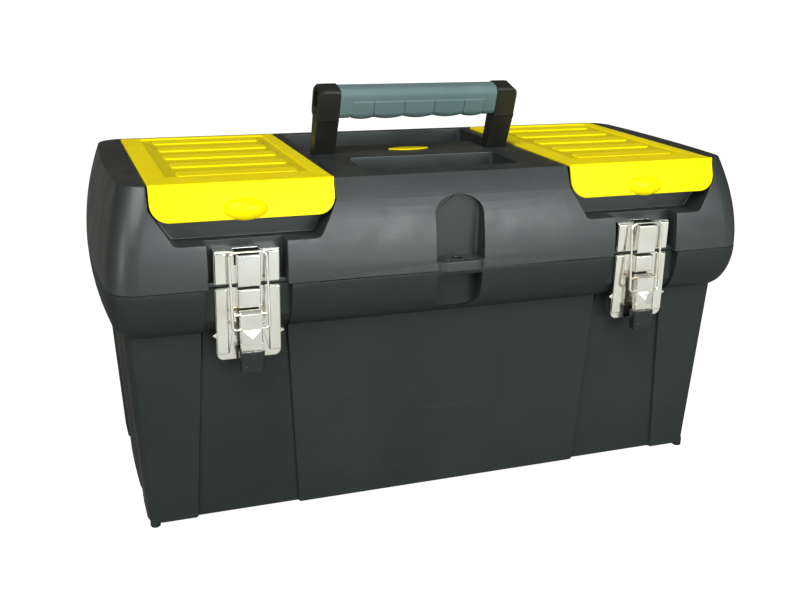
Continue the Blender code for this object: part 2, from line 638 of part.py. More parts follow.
def build_keeper(name, x, metal):
    y = (PLATE_Y - SHEET, PLATE_Y)
    keeper = box(name, (x - PLATE_HALF_WIDTH, x + PLATE_HALF_WIDTH), y, KEEPER_Z)
    join(keeper, box("keeper_flange", (x - 0.0270, x + 0.0270), (PLATE_Y - 0.0005, POCKET_BACK_Y - GAP),
                     (KEEPER_Z[1] - SHEET, KEEPER_Z[1] - 0.0001)))
    join(keeper, box("keeper_hook", (x - 0.0102, x + 0.0102), (HOOK_FRONT_Y, PLATE_Y - 0.0005),
                     (KEEPER_Z[0] - SHEET, KEEPER_Z[1] - 0.0015)))
    cut(keeper, box("hook_hollow", (x - 0.0090, x + 0.0090), (HOOK_FRONT_Y + SHEET, PLATE_Y - SHEET),
                    (0.2200, 0.2600)))
    return finish(keeper, metal)


def build_lever(name, x, metal):
    """Side profile of the lever, pushed across its width: a round head and a facetted nose."""
    y0, z0 = LEVER_PIVOT
    head = 0.0040
    profile = []
    for i in range(7):
        a = math.radians(30 * i)
        profile.append((y0 + head * math.cos(a), z0 + head * math.sin(a)))
    low = z0 - LEVER_LENGTH
    profile += [(y0 - head, z0 - 0.0030), (LEVER_NOSE_Y, z0 - 0.0130), (LEVER_NOSE_Y + 0.0016, low)]
    profile += [(-0.1395, low), (-0.1380, z0 - 0.0180), (y0 + head - 0.0010, z0 - 0.0060)]
    lever = prism(name, profile, "X", x - LEVER_HALF, x + LEVER_HALF)
    join(lever, box("tongue", (x - 0.0080, x + 0.0080), TONGUE_Y, (0.1575, 0.1720)))
    cut(lever, rod("lever_bore", PIN_RADIUS + GAP, (x - 0.02, x + 0.02), y0, z0, 14))
    cut(lever, rod("bail_bore", WIRE_RADIUS + 0.0004, (x - 0.02, x + 0.02), *BAIL_PIVOT, 12))
    return finish(lever, metal)


def build_lever_tip(name, x, black):
    tip = box(name, (x - TIP_HALF, x + TIP_HALF), (-0.1490, -0.1368), TIP_Z,
              taper=0.0015, bevel=0.0022, segments=2)
    slot_y = (TONGUE_Y[0] - 0.0004, TONGUE_Y[1] + 0.0004)
    cut(tip, box("tongue_slot", (x - 0.0084, x + 0.0084), slot_y, (0.1571, 0.1800)))
    return finish(tip, black)


def build_bail(name, x, metal):
    """A wire loop: two legs, a crossbar with rounded corners, and ends turned in at the pivot."""
    y, z = BAIL_PIVOT
    half = BAIL_HALF
    end = 0.0068
    bend = 0.0050
    right = [(end, z), (half - 0.0012, z), (half, z + 0.0012)]
    for i in range(4):
        a = math.radians(30 * i)
        right.append((half - bend + bend * math.cos(a), BAIL_TOP_Z - bend + bend * math.sin(a)))
    path = right + [(-px, pz) for px, pz in reversed(right)]
    curve = bpy.data.curves.new(name, "CURVE")
    curve.dimensions = "3D"
    curve.bevel_depth = WIRE_RADIUS
    curve.bevel_resolution = 2
    curve.use_fill_caps = True
    spline = curve.splines.new("POLY")
    spline.points.add(len(path) - 1)
    for point, (px, pz) in zip(spline.points, path):
        point.co = (x + px, y, pz, 1)
    draft = bpy.data.objects.new("bail_wire", curve)
    parts.objects.link(draft)
    graph = bpy.context.evaluated_depsgraph_get()
    mesh = bpy.data.meshes.new_from_object(draft.evaluated_get(graph))
    bm = bmesh.new()
    bm.from_mesh(mesh)
    bmesh.ops.remove_doubles(bm, verts=bm.verts, dist=0.00001)
    bail = object_from(bm, name)
    bail.matrix_world = draft.matrix_world
    bpy.data.objects.remove(draft, do_unlink=True)
    return finish(bail, metal)


# ---------- tray and badge ----------
TRAY_HALF = (0.2620, 0.1035)
TRAY_RIM_HALF = (0.2890, 0.1160)
TRAY_FLOOR_Z = 0.1250
TRAY_RIM_Z = (0.1844, 0.1866)


def rounded_slab(name, half_x, half_y, radius, z, draft=0.0):
    rings = []
    for height, inward in ((z[0], draft), (z[1], 0.0)):
        hx = half_x - inward
        hy = half_y - inward
        ring = corner_points(-hx + radius, -hy + radius, radius, 180, 4)
        ring += corner_points(hx - radius, -hy + radius, radius, 270, 4)
        ring += corner_points(hx - radius, hy - radius, radius, 0, 4)
        ring += corner_points(-hx + radius, hy - radius, radius, 90, 4)
        rings.append([Vector((x, y, height)) for x, y in ring])
    return solid_from_rings(name, rings)


def build_tray(material):
    """Tote tray: hangs by its rim on the shelf inside the belt, with a grip down the middle."""
    top = TRAY_RIM_Z[1]
    wall = 0.0022
    tray = rounded_slab("tray", *TRAY_HALF, 0.014, (TRAY_FLOOR_Z, top - 0.0002), draft=0.004)
    join(tray, rounded_slab("tray_rim", *TRAY_RIM_HALF, 0.030, TRAY_RIM_Z))
    hollow = rounded_slab("tray_hollow", TRAY_HALF[0] - wall, TRAY_HALF[1] - wall, 0.012,
                          (TRAY_FLOOR_Z + wall, top + 0.010), draft=0.004)
    cut(tray, hollow)
    join(tray, box("tray_spine", (-TRAY_HALF[0] + 0.001, TRAY_HALF[0] - 0.001), (-0.0015, 0.0015),
                   (TRAY_FLOOR_Z + 0.001, top - 0.0004)))
    for x in (-0.095, 0.095):
        join(tray, box("tray_divider", (x - 0.001, x + 0.001), (0.0, TRAY_HALF[1] - 0.001),
                       (TRAY_FLOOR_Z + 0.001, top - 0.0080)))
    join(tray, box("tray_grip", (-0.062, 0.062), (-0.0070, 0.0070), (top - 0.012, 0.2280),
                   bevel=0.003))
    cut(tray, box("grip_hole", (-0.048, 0.048), (-0.020, 0.020), (0.1910, 0.2170), bevel=0.004))
    pivot("tray_axis", (0, 0, TRAY_RIM_Z[0]), [tray])
    return finish(tray, material)


def build_badge(material):
    """A blank leaf-shaped plate, seated in the lid's centre bar."""
    outline = []
    for i in range(24):
        a = 2 * math.pi * i / 24
        outline.append((0.0205 * math.cos(a), 0.0064 * math.sin(a)))
    bm = bmesh.new()
    low = LID_TOP_Z - 0.0012 + GAP
    verts = [bm.verts.new((x, y, low)) for x, y in outline]
    face = bm.faces.new(verts)
    moved = bmesh.ops.extrude_face_region(bm, geom=[face])
    raised = [item for item in moved["geom"] if isinstance(item, bmesh.types.BMVert)]
    bmesh.ops.translate(bm, verts=raised, vec=Vector((0, 0, 0.0022)))
    return finish(object_from(bm, "badge"), material)


# ---------- assembly ----------
black_plastic = make_material("black_plastic", (0.030, 0.034, 0.034), 0.45)
lid_plastic = make_material("lid_plastic", (0.034, 0.038, 0.039), 0.40)
yellow_plastic = make_material("yellow_plastic", (0.95, 0.80, 0.0), 0.35)
tray_plastic = make_material("tray_plastic", (0.024, 0.026, 0.026), 0.55)
handle_plastic = make_material("handle_plastic", (0.018, 0.018, 0.016), 0.50)
grip_rubber = make_material("grip_rubber", (0.155, 0.220, 0.230), 0.70)
nickel_plate = make_material("nickel_plate", (0.76, 0.73, 0.66), 0.18, 1.0)
tip_rubber = make_material("tip_rubber", (0.014, 0.015, 0.016), 0.35)
pin_steel = make_material("pin_steel", (0.55, 0.55, 0.54), 0.30, 1.0)

build_tub(black_plastic)
build_lid(lid_plastic)
build_tray(tray_plastic)
build_badge(yellow_plastic)
build_handle(handle_plastic, grip_rubber)
for side_name, sign in SIDES:
    build_flap(f"organizer_lid_{side_name}", sign, yellow_plastic)
    build_hinge_pin(f"hinge_pin_{side_name}", sign * LATCH_X, pin_steel)
    build_latch(side_name, sign * LATCH_X, nickel_plate, tip_rubber)
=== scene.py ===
# Carpenter's toolbox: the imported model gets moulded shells, pressed latches, a handle and real finishes.
import math
import bmesh
import bpy
from mathutils import Matrix, Vector


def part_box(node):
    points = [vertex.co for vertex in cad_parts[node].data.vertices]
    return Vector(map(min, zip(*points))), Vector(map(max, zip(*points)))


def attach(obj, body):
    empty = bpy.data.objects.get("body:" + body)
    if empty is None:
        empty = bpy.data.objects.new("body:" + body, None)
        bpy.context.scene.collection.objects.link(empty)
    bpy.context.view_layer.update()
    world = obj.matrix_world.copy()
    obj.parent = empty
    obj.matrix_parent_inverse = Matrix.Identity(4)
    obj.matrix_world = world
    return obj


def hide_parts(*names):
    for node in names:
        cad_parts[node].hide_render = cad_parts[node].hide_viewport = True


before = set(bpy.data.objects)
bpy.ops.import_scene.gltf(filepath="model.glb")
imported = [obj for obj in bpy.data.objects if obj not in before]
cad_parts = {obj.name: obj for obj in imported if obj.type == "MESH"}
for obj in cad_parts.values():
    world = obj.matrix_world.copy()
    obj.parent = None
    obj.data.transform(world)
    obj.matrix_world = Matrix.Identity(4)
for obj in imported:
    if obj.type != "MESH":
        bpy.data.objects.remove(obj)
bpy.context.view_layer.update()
print("frame loaded")

# what is shared by several pieces, in metres
gap = 0.0003
wall = 0.0028
parting = 0.224
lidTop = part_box("lid")[1].z
turnSign = -1                  # without a window, turns are counted the other way
latchX = 0.188
hingeAt = (0.145, 0.219)       # depth and height of the lid's hinge pins
pinRadius = 0.0016
hingeBore = 0.0021
ahead = -0.16                  # where cutters start, clear in front of every piece
above = 0.33                   # and where they end, clear above the lid
shackleRadius = 0.0045
shackleAt = (0, -0.131)         # the padlock's hole through lid and tub
mergeDistance = 0.00004
flatAngle = math.radians(0.4)
sides = {"left": -1, "right": 1}


# working in edit mode, with every choice made by place
def deselectAll():
    if bpy.context.mode != "OBJECT":
        bpy.ops.object.mode_set(mode="OBJECT")
    bpy.ops.object.select_all(action="DESELECT")


def activate(piece):
    deselectAll()
    piece.select_set(True)
    bpy.context.view_layer.objects.active = piece


def openEdit(piece):
    activate(piece)
    bpy.ops.object.mode_set(mode="EDIT")
    bpy.ops.mesh.select_all(action="DESELECT")


def closeEdit():
    bpy.ops.object.mode_set(mode="OBJECT")


def pickAll():
    bpy.ops.mesh.select_all(action="SELECT")


def pickVerts(piece, test):
    bpy.ops.mesh.select_mode(type="VERT")
    bpy.ops.mesh.select_all(action="DESELECT")
    mesh = bmesh.from_edit_mesh(piece.data)
    for vert in mesh.verts:
        vert.select = bool(test(vert.co))
    mesh.select_flush(True)
    bmesh.update_edit_mesh(piece.data)


def pickEdges(piece, test):
    bpy.ops.mesh.select_mode(type="EDGE")
    bpy.ops.mesh.select_all(action="DESELECT")
    mesh = bmesh.from_edit_mesh(piece.data)
    for edge in mesh.edges:
        a, b = edge.verts[0].co, edge.verts[1].co
        if test((a + b) / 2, (b - a).normalized()):
            edge.select_set(True)
    bmesh.update_edit_mesh(piece.data)


def pickFaces(piece, test):
    bpy.ops.mesh.select_mode(type="FACE")
    bpy.ops.mesh.select_all(action="DESELECT")
    mesh = bmesh.from_edit_mesh(piece.data)
    for face in mesh.faces:
        if test(face.calc_center_median(), face.normal):
            face.select_set(True)
    bmesh.update_edit_mesh(piece.data)


def slide(x=0.0, y=0.0, z=0.0):
    bpy.ops.transform.translate(value=(x, y, z))


def stretch(x=1.0, y=1.0, z=1.0, centre=(0, 0, 0)):
    bpy.ops.transform.resize(value=(x, y, z), center_override=centre)


def extrude(x=0.0, y=0.0, z=0.0):
    bpy.ops.mesh.extrude_region_move(TRANSFORM_OT_translate={"value": (x, y, z)})


def roundPicked(width, steps=4, what="EDGES"):
    bpy.ops.mesh.bevel(offset=width, segments=steps, affect=what)


def cutAway(point, normal):
    pickAll()
    bpy.ops.mesh.bisect(plane_co=point, plane_no=normal, clear_outer=True, use_fill=True)


def roundEdges(piece, test, width, steps=4):
    openEdit(piece)
    pickEdges(piece, test)
    roundPicked(width, steps)
    closeEdit()


def faceOutwards(piece):
    openEdit(piece)
    pickAll()
    bpy.ops.mesh.remove_doubles(threshold=0.00001)
    bpy.ops.mesh.normals_make_consistent(inside=False)
    closeEdit()


# primitives at their size and place, which goes into the mesh
def settle(name):
    bpy.ops.object.transform_apply(location=True, rotation=True, scale=True)
    piece = bpy.context.object
    piece.name = piece.data.name = name
    return piece


def around(middle, half):
    return middle - half, middle + half


def addBox(name, x, y, z):
    deselectAll()
    middle = [(low + high) / 2 for low, high in (x, y, z)]
    size = [high - low for low, high in (x, y, z)]
    bpy.ops.mesh.primitive_cube_add(size=1, location=middle, scale=size)
    return settle(name)


def addBall(name, spot, size, segments):
    deselectAll()
    bpy.ops.mesh.primitive_uv_sphere_add(segments=segments, ring_count=segments // 2, radius=1,
            location=spot, scale=size)
    return settle(name)


# a round bar along X or Z; span is its two ends and at the other two coordinates
def addRod(name, axis, radius, span, at, count=32):
    deselectAll()
    middle = sum(span) / 2
    spot = {"X": (middle, *at), "Z": (*at, middle)}[axis]
    turn = {"X": (0, math.pi / 2, 0), "Z": (0, 0, 0)}[axis]
    bpy.ops.mesh.primitive_cylinder_add(vertices=count, radius=radius, depth=span[1] - span[0],
            location=spot, rotation=turn)
    return settle(name)


# a flat outline with round corners, ready to be extruded upwards
def addSlab(name, halfX, halfY, corner, z, steps=8):
    deselectAll()
    bpy.ops.mesh.primitive_plane_add(size=2, location=(0, 0, z))
    bpy.context.object.scale = (halfX, halfY, 1)
    piece = settle(name)
    openEdit(piece)
    pickAll()
    roundPicked(corner, steps, "VERTICES")
    closeEdit()
    return piece


# modifiers that are applied at once, and the cutting and welding done with them
def applyModifier(piece, kind, **settings):
    activate(piece)
    modifier = piece.modifiers.new(kind.lower(), kind)
    for key, value in settings.items():
        setattr(modifier, key, value)
    bpy.ops.object.modifier_apply(modifier=modifier.name)


def combine(piece, tools, operation):
    for tool in tools:
        applyModifier(piece, "BOOLEAN", object=tool, operation=operation, solver="EXACT")
        bpy.data.objects.remove(tool, do_unlink=True)


def carve(piece, *tools):
    combine(piece, tools, "DIFFERENCE")


def weld(piece, *tools):
    combine(piece, tools, "UNION")


def copyOf(piece, name):
    copy = piece.copy()
    copy.data = piece.data.copy()
    copy.name = copy.data.name = name
    bpy.context.scene.collection.objects.link(copy)
    return copy


def mirrored(piece, name):
    copy = copyOf(piece, name)
    openEdit(copy)
    pickAll()
    stretch(x=-1)
    closeEdit()
    faceOutwards(copy)
    return copy


def shifted(piece, name, x=0.0, y=0.0, z=0.0):
    copy = copyOf(piece, name)
    openEdit(copy)
    pickAll()
    slide(x, y, z)
    closeEdit()
    return copy


def bothSides(tool):
    return tool, mirrored(tool, tool.name + "Twin")


# break every hard edge and let the big faces rule the shading
def soften(piece, width, steps=2, angle=28):
    openEdit(piece)
    pickAll()
    bpy.ops.mesh.remove_doubles(threshold=mergeDistance)
    bpy.ops.mesh.dissolve_limited(angle_limit=flatAngle)
    closeEdit()
    applyModifier(piece, "TRIANGULATE", min_vertices=5)   # faces with holes in them don't survive a bevel
    if width:
        applyModifier(piece, "BEVEL", width=width, segments=steps, limit_method="ANGLE",
                angle_limit=math.radians(angle), use_clamp_overlap=False, miter_outer="MITER_ARC",
                harden_normals=False)
    closeSeams(piece)
    shadeSoft(piece)


# merge what a bevel leaves doubled and fill the slits it opens at sharp points
def closeSeams(piece):
    openEdit(piece)
    pickAll()
    bpy.ops.mesh.remove_doubles(threshold=0.00002)
    bpy.ops.mesh.dissolve_degenerate(threshold=0.00001)
    bpy.ops.mesh.delete_loose()
    bpy.ops.mesh.select_all(action="DESELECT")
    bpy.ops.mesh.select_mode(type="EDGE")
    bpy.ops.mesh.select_non_manifold(extend=False, use_wire=False, use_multi_face=False,
            use_non_contiguous=False, use_verts=False)
    bpy.ops.mesh.fill_holes(sides=0)
    pickAll()
    bpy.ops.mesh.normals_make_consistent(inside=False)
    closeEdit()


def shadeSoft(piece, angle=35):
    activate(piece)
    bpy.ops.object.shade_smooth_by_angle(angle=math.radians(angle))
    applyModifier(piece, "WEIGHTED_NORMAL", keep_sharp=True, weight=60)


# hand a finished piece to the frame
def place(piece, body, slot, material, *nodes):
    piece.data.materials.clear()
    piece.data.materials.append(material)
    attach(piece, body)
    if nodes:
        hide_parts(*nodes)


# ends of a flat outline, curved outwards a little
def bowEnds(piece, halfX, halfY, corner, bow, cuts=7):
    openEdit(piece)
    flat = halfY - corner
    for side in (-1, 1):
        pickEdges(piece, lambda middle, way: middle.x * side > halfX - 0.0005)
        bpy.ops.mesh.subdivide(number_cuts=cuts)
        for i in range(cuts):
            y = flat * (2 * (i + 1) / (cuts + 1) - 1)
            pickVerts(piece, lambda co: co.x * side > halfX - 0.0005 and abs(co.y - y) < 0.001)
            slide(x=side * bow * (1 - (y / flat) ** 2))
    closeEdit()


# grow an outline upwards through sections given as height, half length and half depth
def loftUp(piece, start, sections):
    openEdit(piece)
    pickFaces(piece, lambda middle, normal: True)
    lastZ, lastX, lastY = start
    for z, halfX, halfY in sections:
        extrude(z=z - lastZ)
        stretch(halfX / lastX, halfY / lastY, 1.0, (0, 0, z))
        lastZ, lastX, lastY = z, halfX, halfY
    closeEdit()
    faceOutwards(piece)


tubSizes = {
    "footZ": 0.004,
    "channelFootZ": 0.007,
    "beltZ": 0.181,
    "footHalf": (0.2775, 0.114),
    "beltHalf": (0.288, 0.117),
    "rimHalf": (0.301, 0.14),
    "endBow": 0.0038,
    "blockDepth": 0.042,
    "stepDepth": 0.0035,
    "wallCorner": 0.013,
    "beltCorner": 0.023,
    "channelHalf": (0.0457, 0.0362),
    "channelFloor": 0.1307,
    "padHalf": 0.024,
    "padY": -0.1315,
    "footRadius": 0.0045,
    "footAt": (0.2715, 0.108),
    "knuckles": ((-0.017, -0.0072), (0.0072, 0.017)),
    "edge": 0.0007,
}


# one section of the quarter-round belt, drawn in along its own normal by inset
def beltSection(degrees, inset):
    angle = math.radians(degrees)
    height = parting - tubSizes["beltZ"]
    growX, growY = (rim - foot for rim, foot in zip(tubSizes["rimHalf"], tubSizes["beltHalf"]))
    normal = Vector((math.cos(angle) / growY, math.sin(angle) / height)).normalized()
    z = parting - height * math.sin(angle) + inset * normal.y
    halfX = tubSizes["beltHalf"][0] + growX * math.cos(angle) - inset * normal.x
    halfY = tubSizes["beltHalf"][1] + growY * math.cos(angle) - inset * normal.x
    return z, halfX, halfY


def addBelt(name, inset, top):
    sections = [beltSection(degrees, inset)
            for degrees in (84, 77, 70, 63, 56, 49, 42, 35, 28, 21, 14, 7, 0)]
    corner = tubSizes["beltCorner"] - inset
    belt = addSlab(name, sections[0][1], sections[0][2], corner, sections[0][0])
    bowEnds(belt, sections[0][1], sections[0][2], corner, tubSizes["endBow"])
    sections[-1] = (top, *sections[-1][1:])
    loftUp(belt, sections[0], sections[1:])
    return belt


# drafted walls, with the ends stepped back between their corner blocks
def addWalls(name, inset, bottom, top):
    def halfAt(z):
        share = (z - tubSizes["footZ"]) / (tubSizes["beltZ"] - tubSizes["footZ"])
        return [low + (high - low) * share - inset
                for low, high in zip(tubSizes["footHalf"], tubSizes["beltHalf"])]
    halfX, halfY = halfAt(bottom)
    corner = tubSizes["wallCorner"] - inset
    walls = addSlab(name, halfX, halfY, corner, bottom, 6)
    openEdit(walls)
    edge = halfY + 2 * inset - tubSizes["blockDepth"]
    flat = halfY - corner
    cuts = 9
    for side in (-1, 1):
        pickEdges(walls, lambda middle, way: middle.x * side > halfX - 0.0005)
        bpy.ops.mesh.subdivide(number_cuts=cuts)
        for i in range(-4, 5):
            y = flat * i / 5
            pickVerts(walls, lambda co: co.x * side > halfX - 0.0005 and abs(co.y - y) < 0.001)
            way = 1 if i > 0 else -1
            if abs(i) == 4:
                slide(y=way * edge - y)
            elif abs(i) == 3:
                slide(x=-side * tubSizes["stepDepth"], y=way * (edge - 0.002) - y)
            else:
                bow = tubSizes["endBow"] * (1 - (y / halfY) ** 2)
                slide(x=side * (bow - tubSizes["stepDepth"]))
    closeEdit()
    loftUp(walls, (bottom, halfX, halfY), [(top, *halfAt(top))])
    return walls


# a latch channel in the drafted front wall, narrower towards the belt; grow leaves a wall behind it
def addChannelCutter(grow=0.0, rear=False):
    low, high = (half + grow for half in tubSizes["channelHalf"])
    floors = [half[1] - tubSizes["stepDepth"] - grow
            for half in (tubSizes["footHalf"], tubSizes["beltHalf"])]
    top = tubSizes["beltZ"] + grow
    cutter = addBox("channel", around(latchX, high), (ahead, -floors[1]), (tubSizes["footZ"], top))
    openEdit(cutter)
    pickVerts(cutter, lambda co: co.z < 0.1)
    stretch(x=low / high, centre=(latchX, 0, 0))
    pickVerts(cutter, lambda co: co.z < 0.1 and co.y > -0.14)
    slide(y=floors[1] - floors[0])
    pickVerts(cutter, lambda co: co.y < -0.15)
    slide(y=0.04)
    stretch(x=1 + 0.01 / high, centre=(latchX, 0, 0))
    slide(y=-0.04)
    pickFaces(cutter, lambda middle, normal: normal.z < -0.9)
    extrude(z=-0.02)
    if rear:
        pickAll()
        stretch(y=-1)
    closeEdit()
    faceOutwards(cutter)
    return cutter


# the channel goes on up the belt: first along its curve, then flat behind the latch plates
def addBeltCutters(grow=0.0):
    half = tubSizes["channelHalf"][1] + grow
    span = around(latchX, half)
    core = shifted(addBelt("beltBlank", 0.0, 0.26), "beltCore", y=tubSizes["stepDepth"] + grow)
    bpy.data.objects.remove(bpy.data.objects["beltBlank"], do_unlink=True)
    hollow = addBox("beltChannel", span, (ahead, -0.1), (tubSizes["beltZ"] - 0.0004, 0.25))
    carve(hollow, core)
    flat = addBox("beltFlat", span, (ahead, -tubSizes["channelFloor"] + grow), (0.18, 0.25))
    return *bothSides(hollow), *bothSides(flat)


def addPadlockRecess():
    tool = addBox("padlockRecess", (-0.021, 0.021), (ahead, -0.123), (0.187, 0.22))
    roundEdges(tool, lambda middle, way: abs(way.y) > 0.9 and middle.z < 0.19, 0.012, 8)
    return tool


def makeTub(material):
    rim = parting - gap / 2
    tub = addWalls("tubShell", 0.0, tubSizes["footZ"], 0.2)
    weld(tub, addBelt("belt", 0.0, rim))
    for rear in (False, True):
        carve(tub, *bothSides(addChannelCutter(0.0, rear)))
    carve(tub, *addBeltCutters())
    for side in sides.values():
        x = side * latchX
        weld(tub, addBox("latchPad", around(x, tubSizes["padHalf"]), (tubSizes["padY"], -0.112),
                (0.1815, rim - 0.0006)))
    carve(tub, addPadlockRecess())
    openEdit(tub)
    pickAll()
    bpy.ops.mesh.remove_doubles(threshold=mergeDistance)
    bpy.ops.mesh.dissolve_limited(angle_limit=flatAngle)
    pickEdges(tub, lambda middle, way: middle.z < tubSizes["footZ"] + 0.0002)
    roundPicked(0.0022, 3)
    closeEdit()
    cavity = addWalls("tubCavity", wall, tubSizes["channelFootZ"] + wall, 0.2)
    weld(cavity, addBelt("beltCavity", wall, 0.24))
    for rear in (False, True):
        carve(cavity, *bothSides(addChannelCutter(wall, rear)))
    carve(cavity, *addBeltCutters(wall))
    carve(cavity, addBox("padlockBoss", (-0.0255, 0.0255), (ahead, -0.1202), (0.184, 0.25)))
    carve(tub, cavity)
    for side in sides.values():
        x = side * latchX
        for low, high in tubSizes["knuckles"]:
            weld(tub, addBox("knuckleArm", (x + low, x + high), (0.1345, 0.1462), (0.212, 0.2227)))
            weld(tub, addRod("knuckle", "X", 0.004, (x + low, x + high), hingeAt))
            carve(tub, addRod("bore", "X", hingeBore, (x + low - 0.002, x + high + 0.002), hingeAt))
    carve(tub, addRod("shackleHole", "Z", shackleRadius, (0.215, 0.23), shackleAt))
    footX, footY = tubSizes["footAt"]
    for x in (-footX, footX):
        for y in (-footY, footY):
            weld(tub, addRod("foot", "Z", tubSizes["footRadius"], (0, 0.008), (x, y), 24))
    soften(tub, tubSizes["edge"])
    place(tub, "body", "black_plastic", material, "tub")
    print("tub made:", len(tub.data.polygons), "faces")


lidSizes = {
    "sillHalf": (0.301, 0.14),
    "topHalf": (0.285, 0.119),
    "bulge": (1.7, 2.2),
    "corner": 0.026,
    "endBow": 0.004,
    "wellFloor": 0.272,
    "wellX": (0.1165, 0.258),
    "wellY": (-0.1082, 0.0985),
    "recessBack": -0.111,
    "ledge": 0.2612,
    "pocketHalf": 0.033,
    "pocketBack": -0.12,
    "frontTrough": ((-0.074, 0.074), (-0.095, -0.035), 0.283),
    "rearTrough": ((-0.101, 0.101), (0.03, 0.109), 0.286),
    "legSlot": ((0.0775, 0.1), (-0.0125, 0.032), 0.296),
    "nicheHalf": 0.0225,
    "nicheBack": -0.123,
    "shelf": 0.2325,
    "nicheTop": 0.2895,
    "slotX": 0.0105,
    "knuckleHalf": 0.0065,
    "edge": 0.0008,
}
flapSizes = {
    "inner": 0.1113,
    "outer": 0.2631,
    "front": -0.1226,
    "rear": 0.1078,
    "top": 0.3092,
    "sheet": 0.0024,
    "flangeBottom": 0.28,
    "flangeCorner": 0.015,
    "flangeLean": 0.0095,
    "panelDepth": 0.0013,
    "ribs": 5,
    "ribPitch": 0.0405,
    "ribHalf": 0.01,
    "hinge": (0.1045, 0.304),
    "tab": (-0.1296, 0.2876),
    "tabHalf": (0.0178, 0.0073, 0.0092),
    "ribStart": -0.08,
    "barrel": 0.014,
    "edge": 0.0006,
}


def lidSection(z, inset):
    share = max(0.0, (z - parting) / (lidTop - parting))
    half = [low + (high - low) * share ** power - inset
            for low, high, power in zip(lidSizes["sillHalf"], lidSizes["topHalf"], lidSizes["bulge"])]
    return z, *half


def addLidBlock(name, inset, bottom, top):
    shares = (0, 0.14, 0.27, 0.39, 0.5, 0.6, 0.69, 0.77, 0.84, 0.9, 0.95, 1)
    sections = [lidSection(bottom + (top - bottom) * share, inset) for share in shares]
    corner = lidSizes["corner"] - inset
    block = addSlab(name, sections[0][1], sections[0][2], corner, bottom, 10)
    bowEnds(block, sections[0][1], sections[0][2], corner, lidSizes["endBow"])
    loftUp(block, sections[0], sections[1:])
    return block


# a box whose lower face is drawn in, with its upright and lower edges rounded
def addBowl(name, x, y, floor, draw, upright=0.004, lower=0.003):
    bowl = addBox(name, x, y, (floor, above))
    openEdit(bowl)
    centre = (sum(x) / 2, sum(y) / 2, 0)
    pickVerts(bowl, lambda co: co.z < floor + 0.001)
    stretch(1 - 2 * draw / (x[1] - x[0]), 1 - 2 * draw / (y[1] - y[0]), 1, centre)
    pickEdges(bowl, lambda middle, way: abs(way.z) > 0.5)
    roundPicked(upright, 5)
    if lower:
        pickEdges(bowl, lambda middle, way: middle.z < floor + 0.0005)
        roundPicked(lower, 4)
    closeEdit()
    return bowl


# the space for fingers under an organizer lid, wide at the top and narrow at its ledge
def addFingerRecess(grow, back):
    inner, outer = flapSizes["inner"] - 0.0012 - grow, flapSizes["outer"] + 0.0012 + grow
    low = lidSizes["ledge"] - grow
    tool = addBox("fingerRecess", (inner, outer), (ahead, back), (low, 0.29))
    openEdit(tool)
    pickVerts(tool, lambda co: co.z < 0.28 and co.x < 0.2)
    slide(x=0.126 - grow - inner)
    pickVerts(tool, lambda co: co.z < 0.28 and co.x > 0.2)
    slide(x=0.246 + grow - outer)
    pickFaces(tool, lambda middle, normal: normal.z > 0.9)
    extrude(z=0.04)
    pickEdges(tool, lambda middle, way: abs(way.y) > 0.9 and middle.z < 0.28)
    roundPicked(0.0025, 3)
    closeEdit()
    return tool


# upright niche for a padlock: straight sides under a half-oval head
def addNiche():
    half = lidSizes["nicheHalf"]
    top = lidSizes["nicheTop"]
    tool = addBox("niche", (-half, half), (ahead, lidSizes["nicheBack"]), (lidSizes["shelf"], top))
    openEdit(tool)
    pickEdges(tool, lambda middle, way: abs(way.y) > 0.9 and middle.z > top - 0.001)
    roundPicked(half - 0.0002, 12)
    pickVerts(tool, lambda co: co.z > top - half - 0.0001)
    stretch(z=0.72, centre=(0, 0, top))
    pickEdges(tool, lambda middle, way: abs(way.z) > 0.9 and middle.y > -0.13)
    roundPicked(0.003, 4)
    closeEdit()
    return tool


# the shelf under the niche, with a round nose in front of the belt
def addShelfTab():
    half = lidSizes["nicheHalf"] - 0.0006
    tab = addBox("shelfTab", (-half, half), (-0.1452, -0.124),
            (parting + gap / 2 + 0.0002, lidSizes["shelf"] + 0.0006))
    roundEdges(tab, lambda middle, way: abs(way.z) > 0.9 and middle.y < -0.14, 0.009, 8)
    return tab


# pointed oval between two arcs
def addLeaf(name, halfLength, halfWidth, z):
    radius = (halfLength ** 2 + halfWidth ** 2) / (2 * halfWidth)
    leaf = addRod(name, "Z", radius, z, (0, radius - halfWidth), 256)
    other = addRod("leafArc", "Z", radius, z, (0, halfWidth - radius), 256)
    combine(leaf, [other], "INTERSECT")
    return leaf


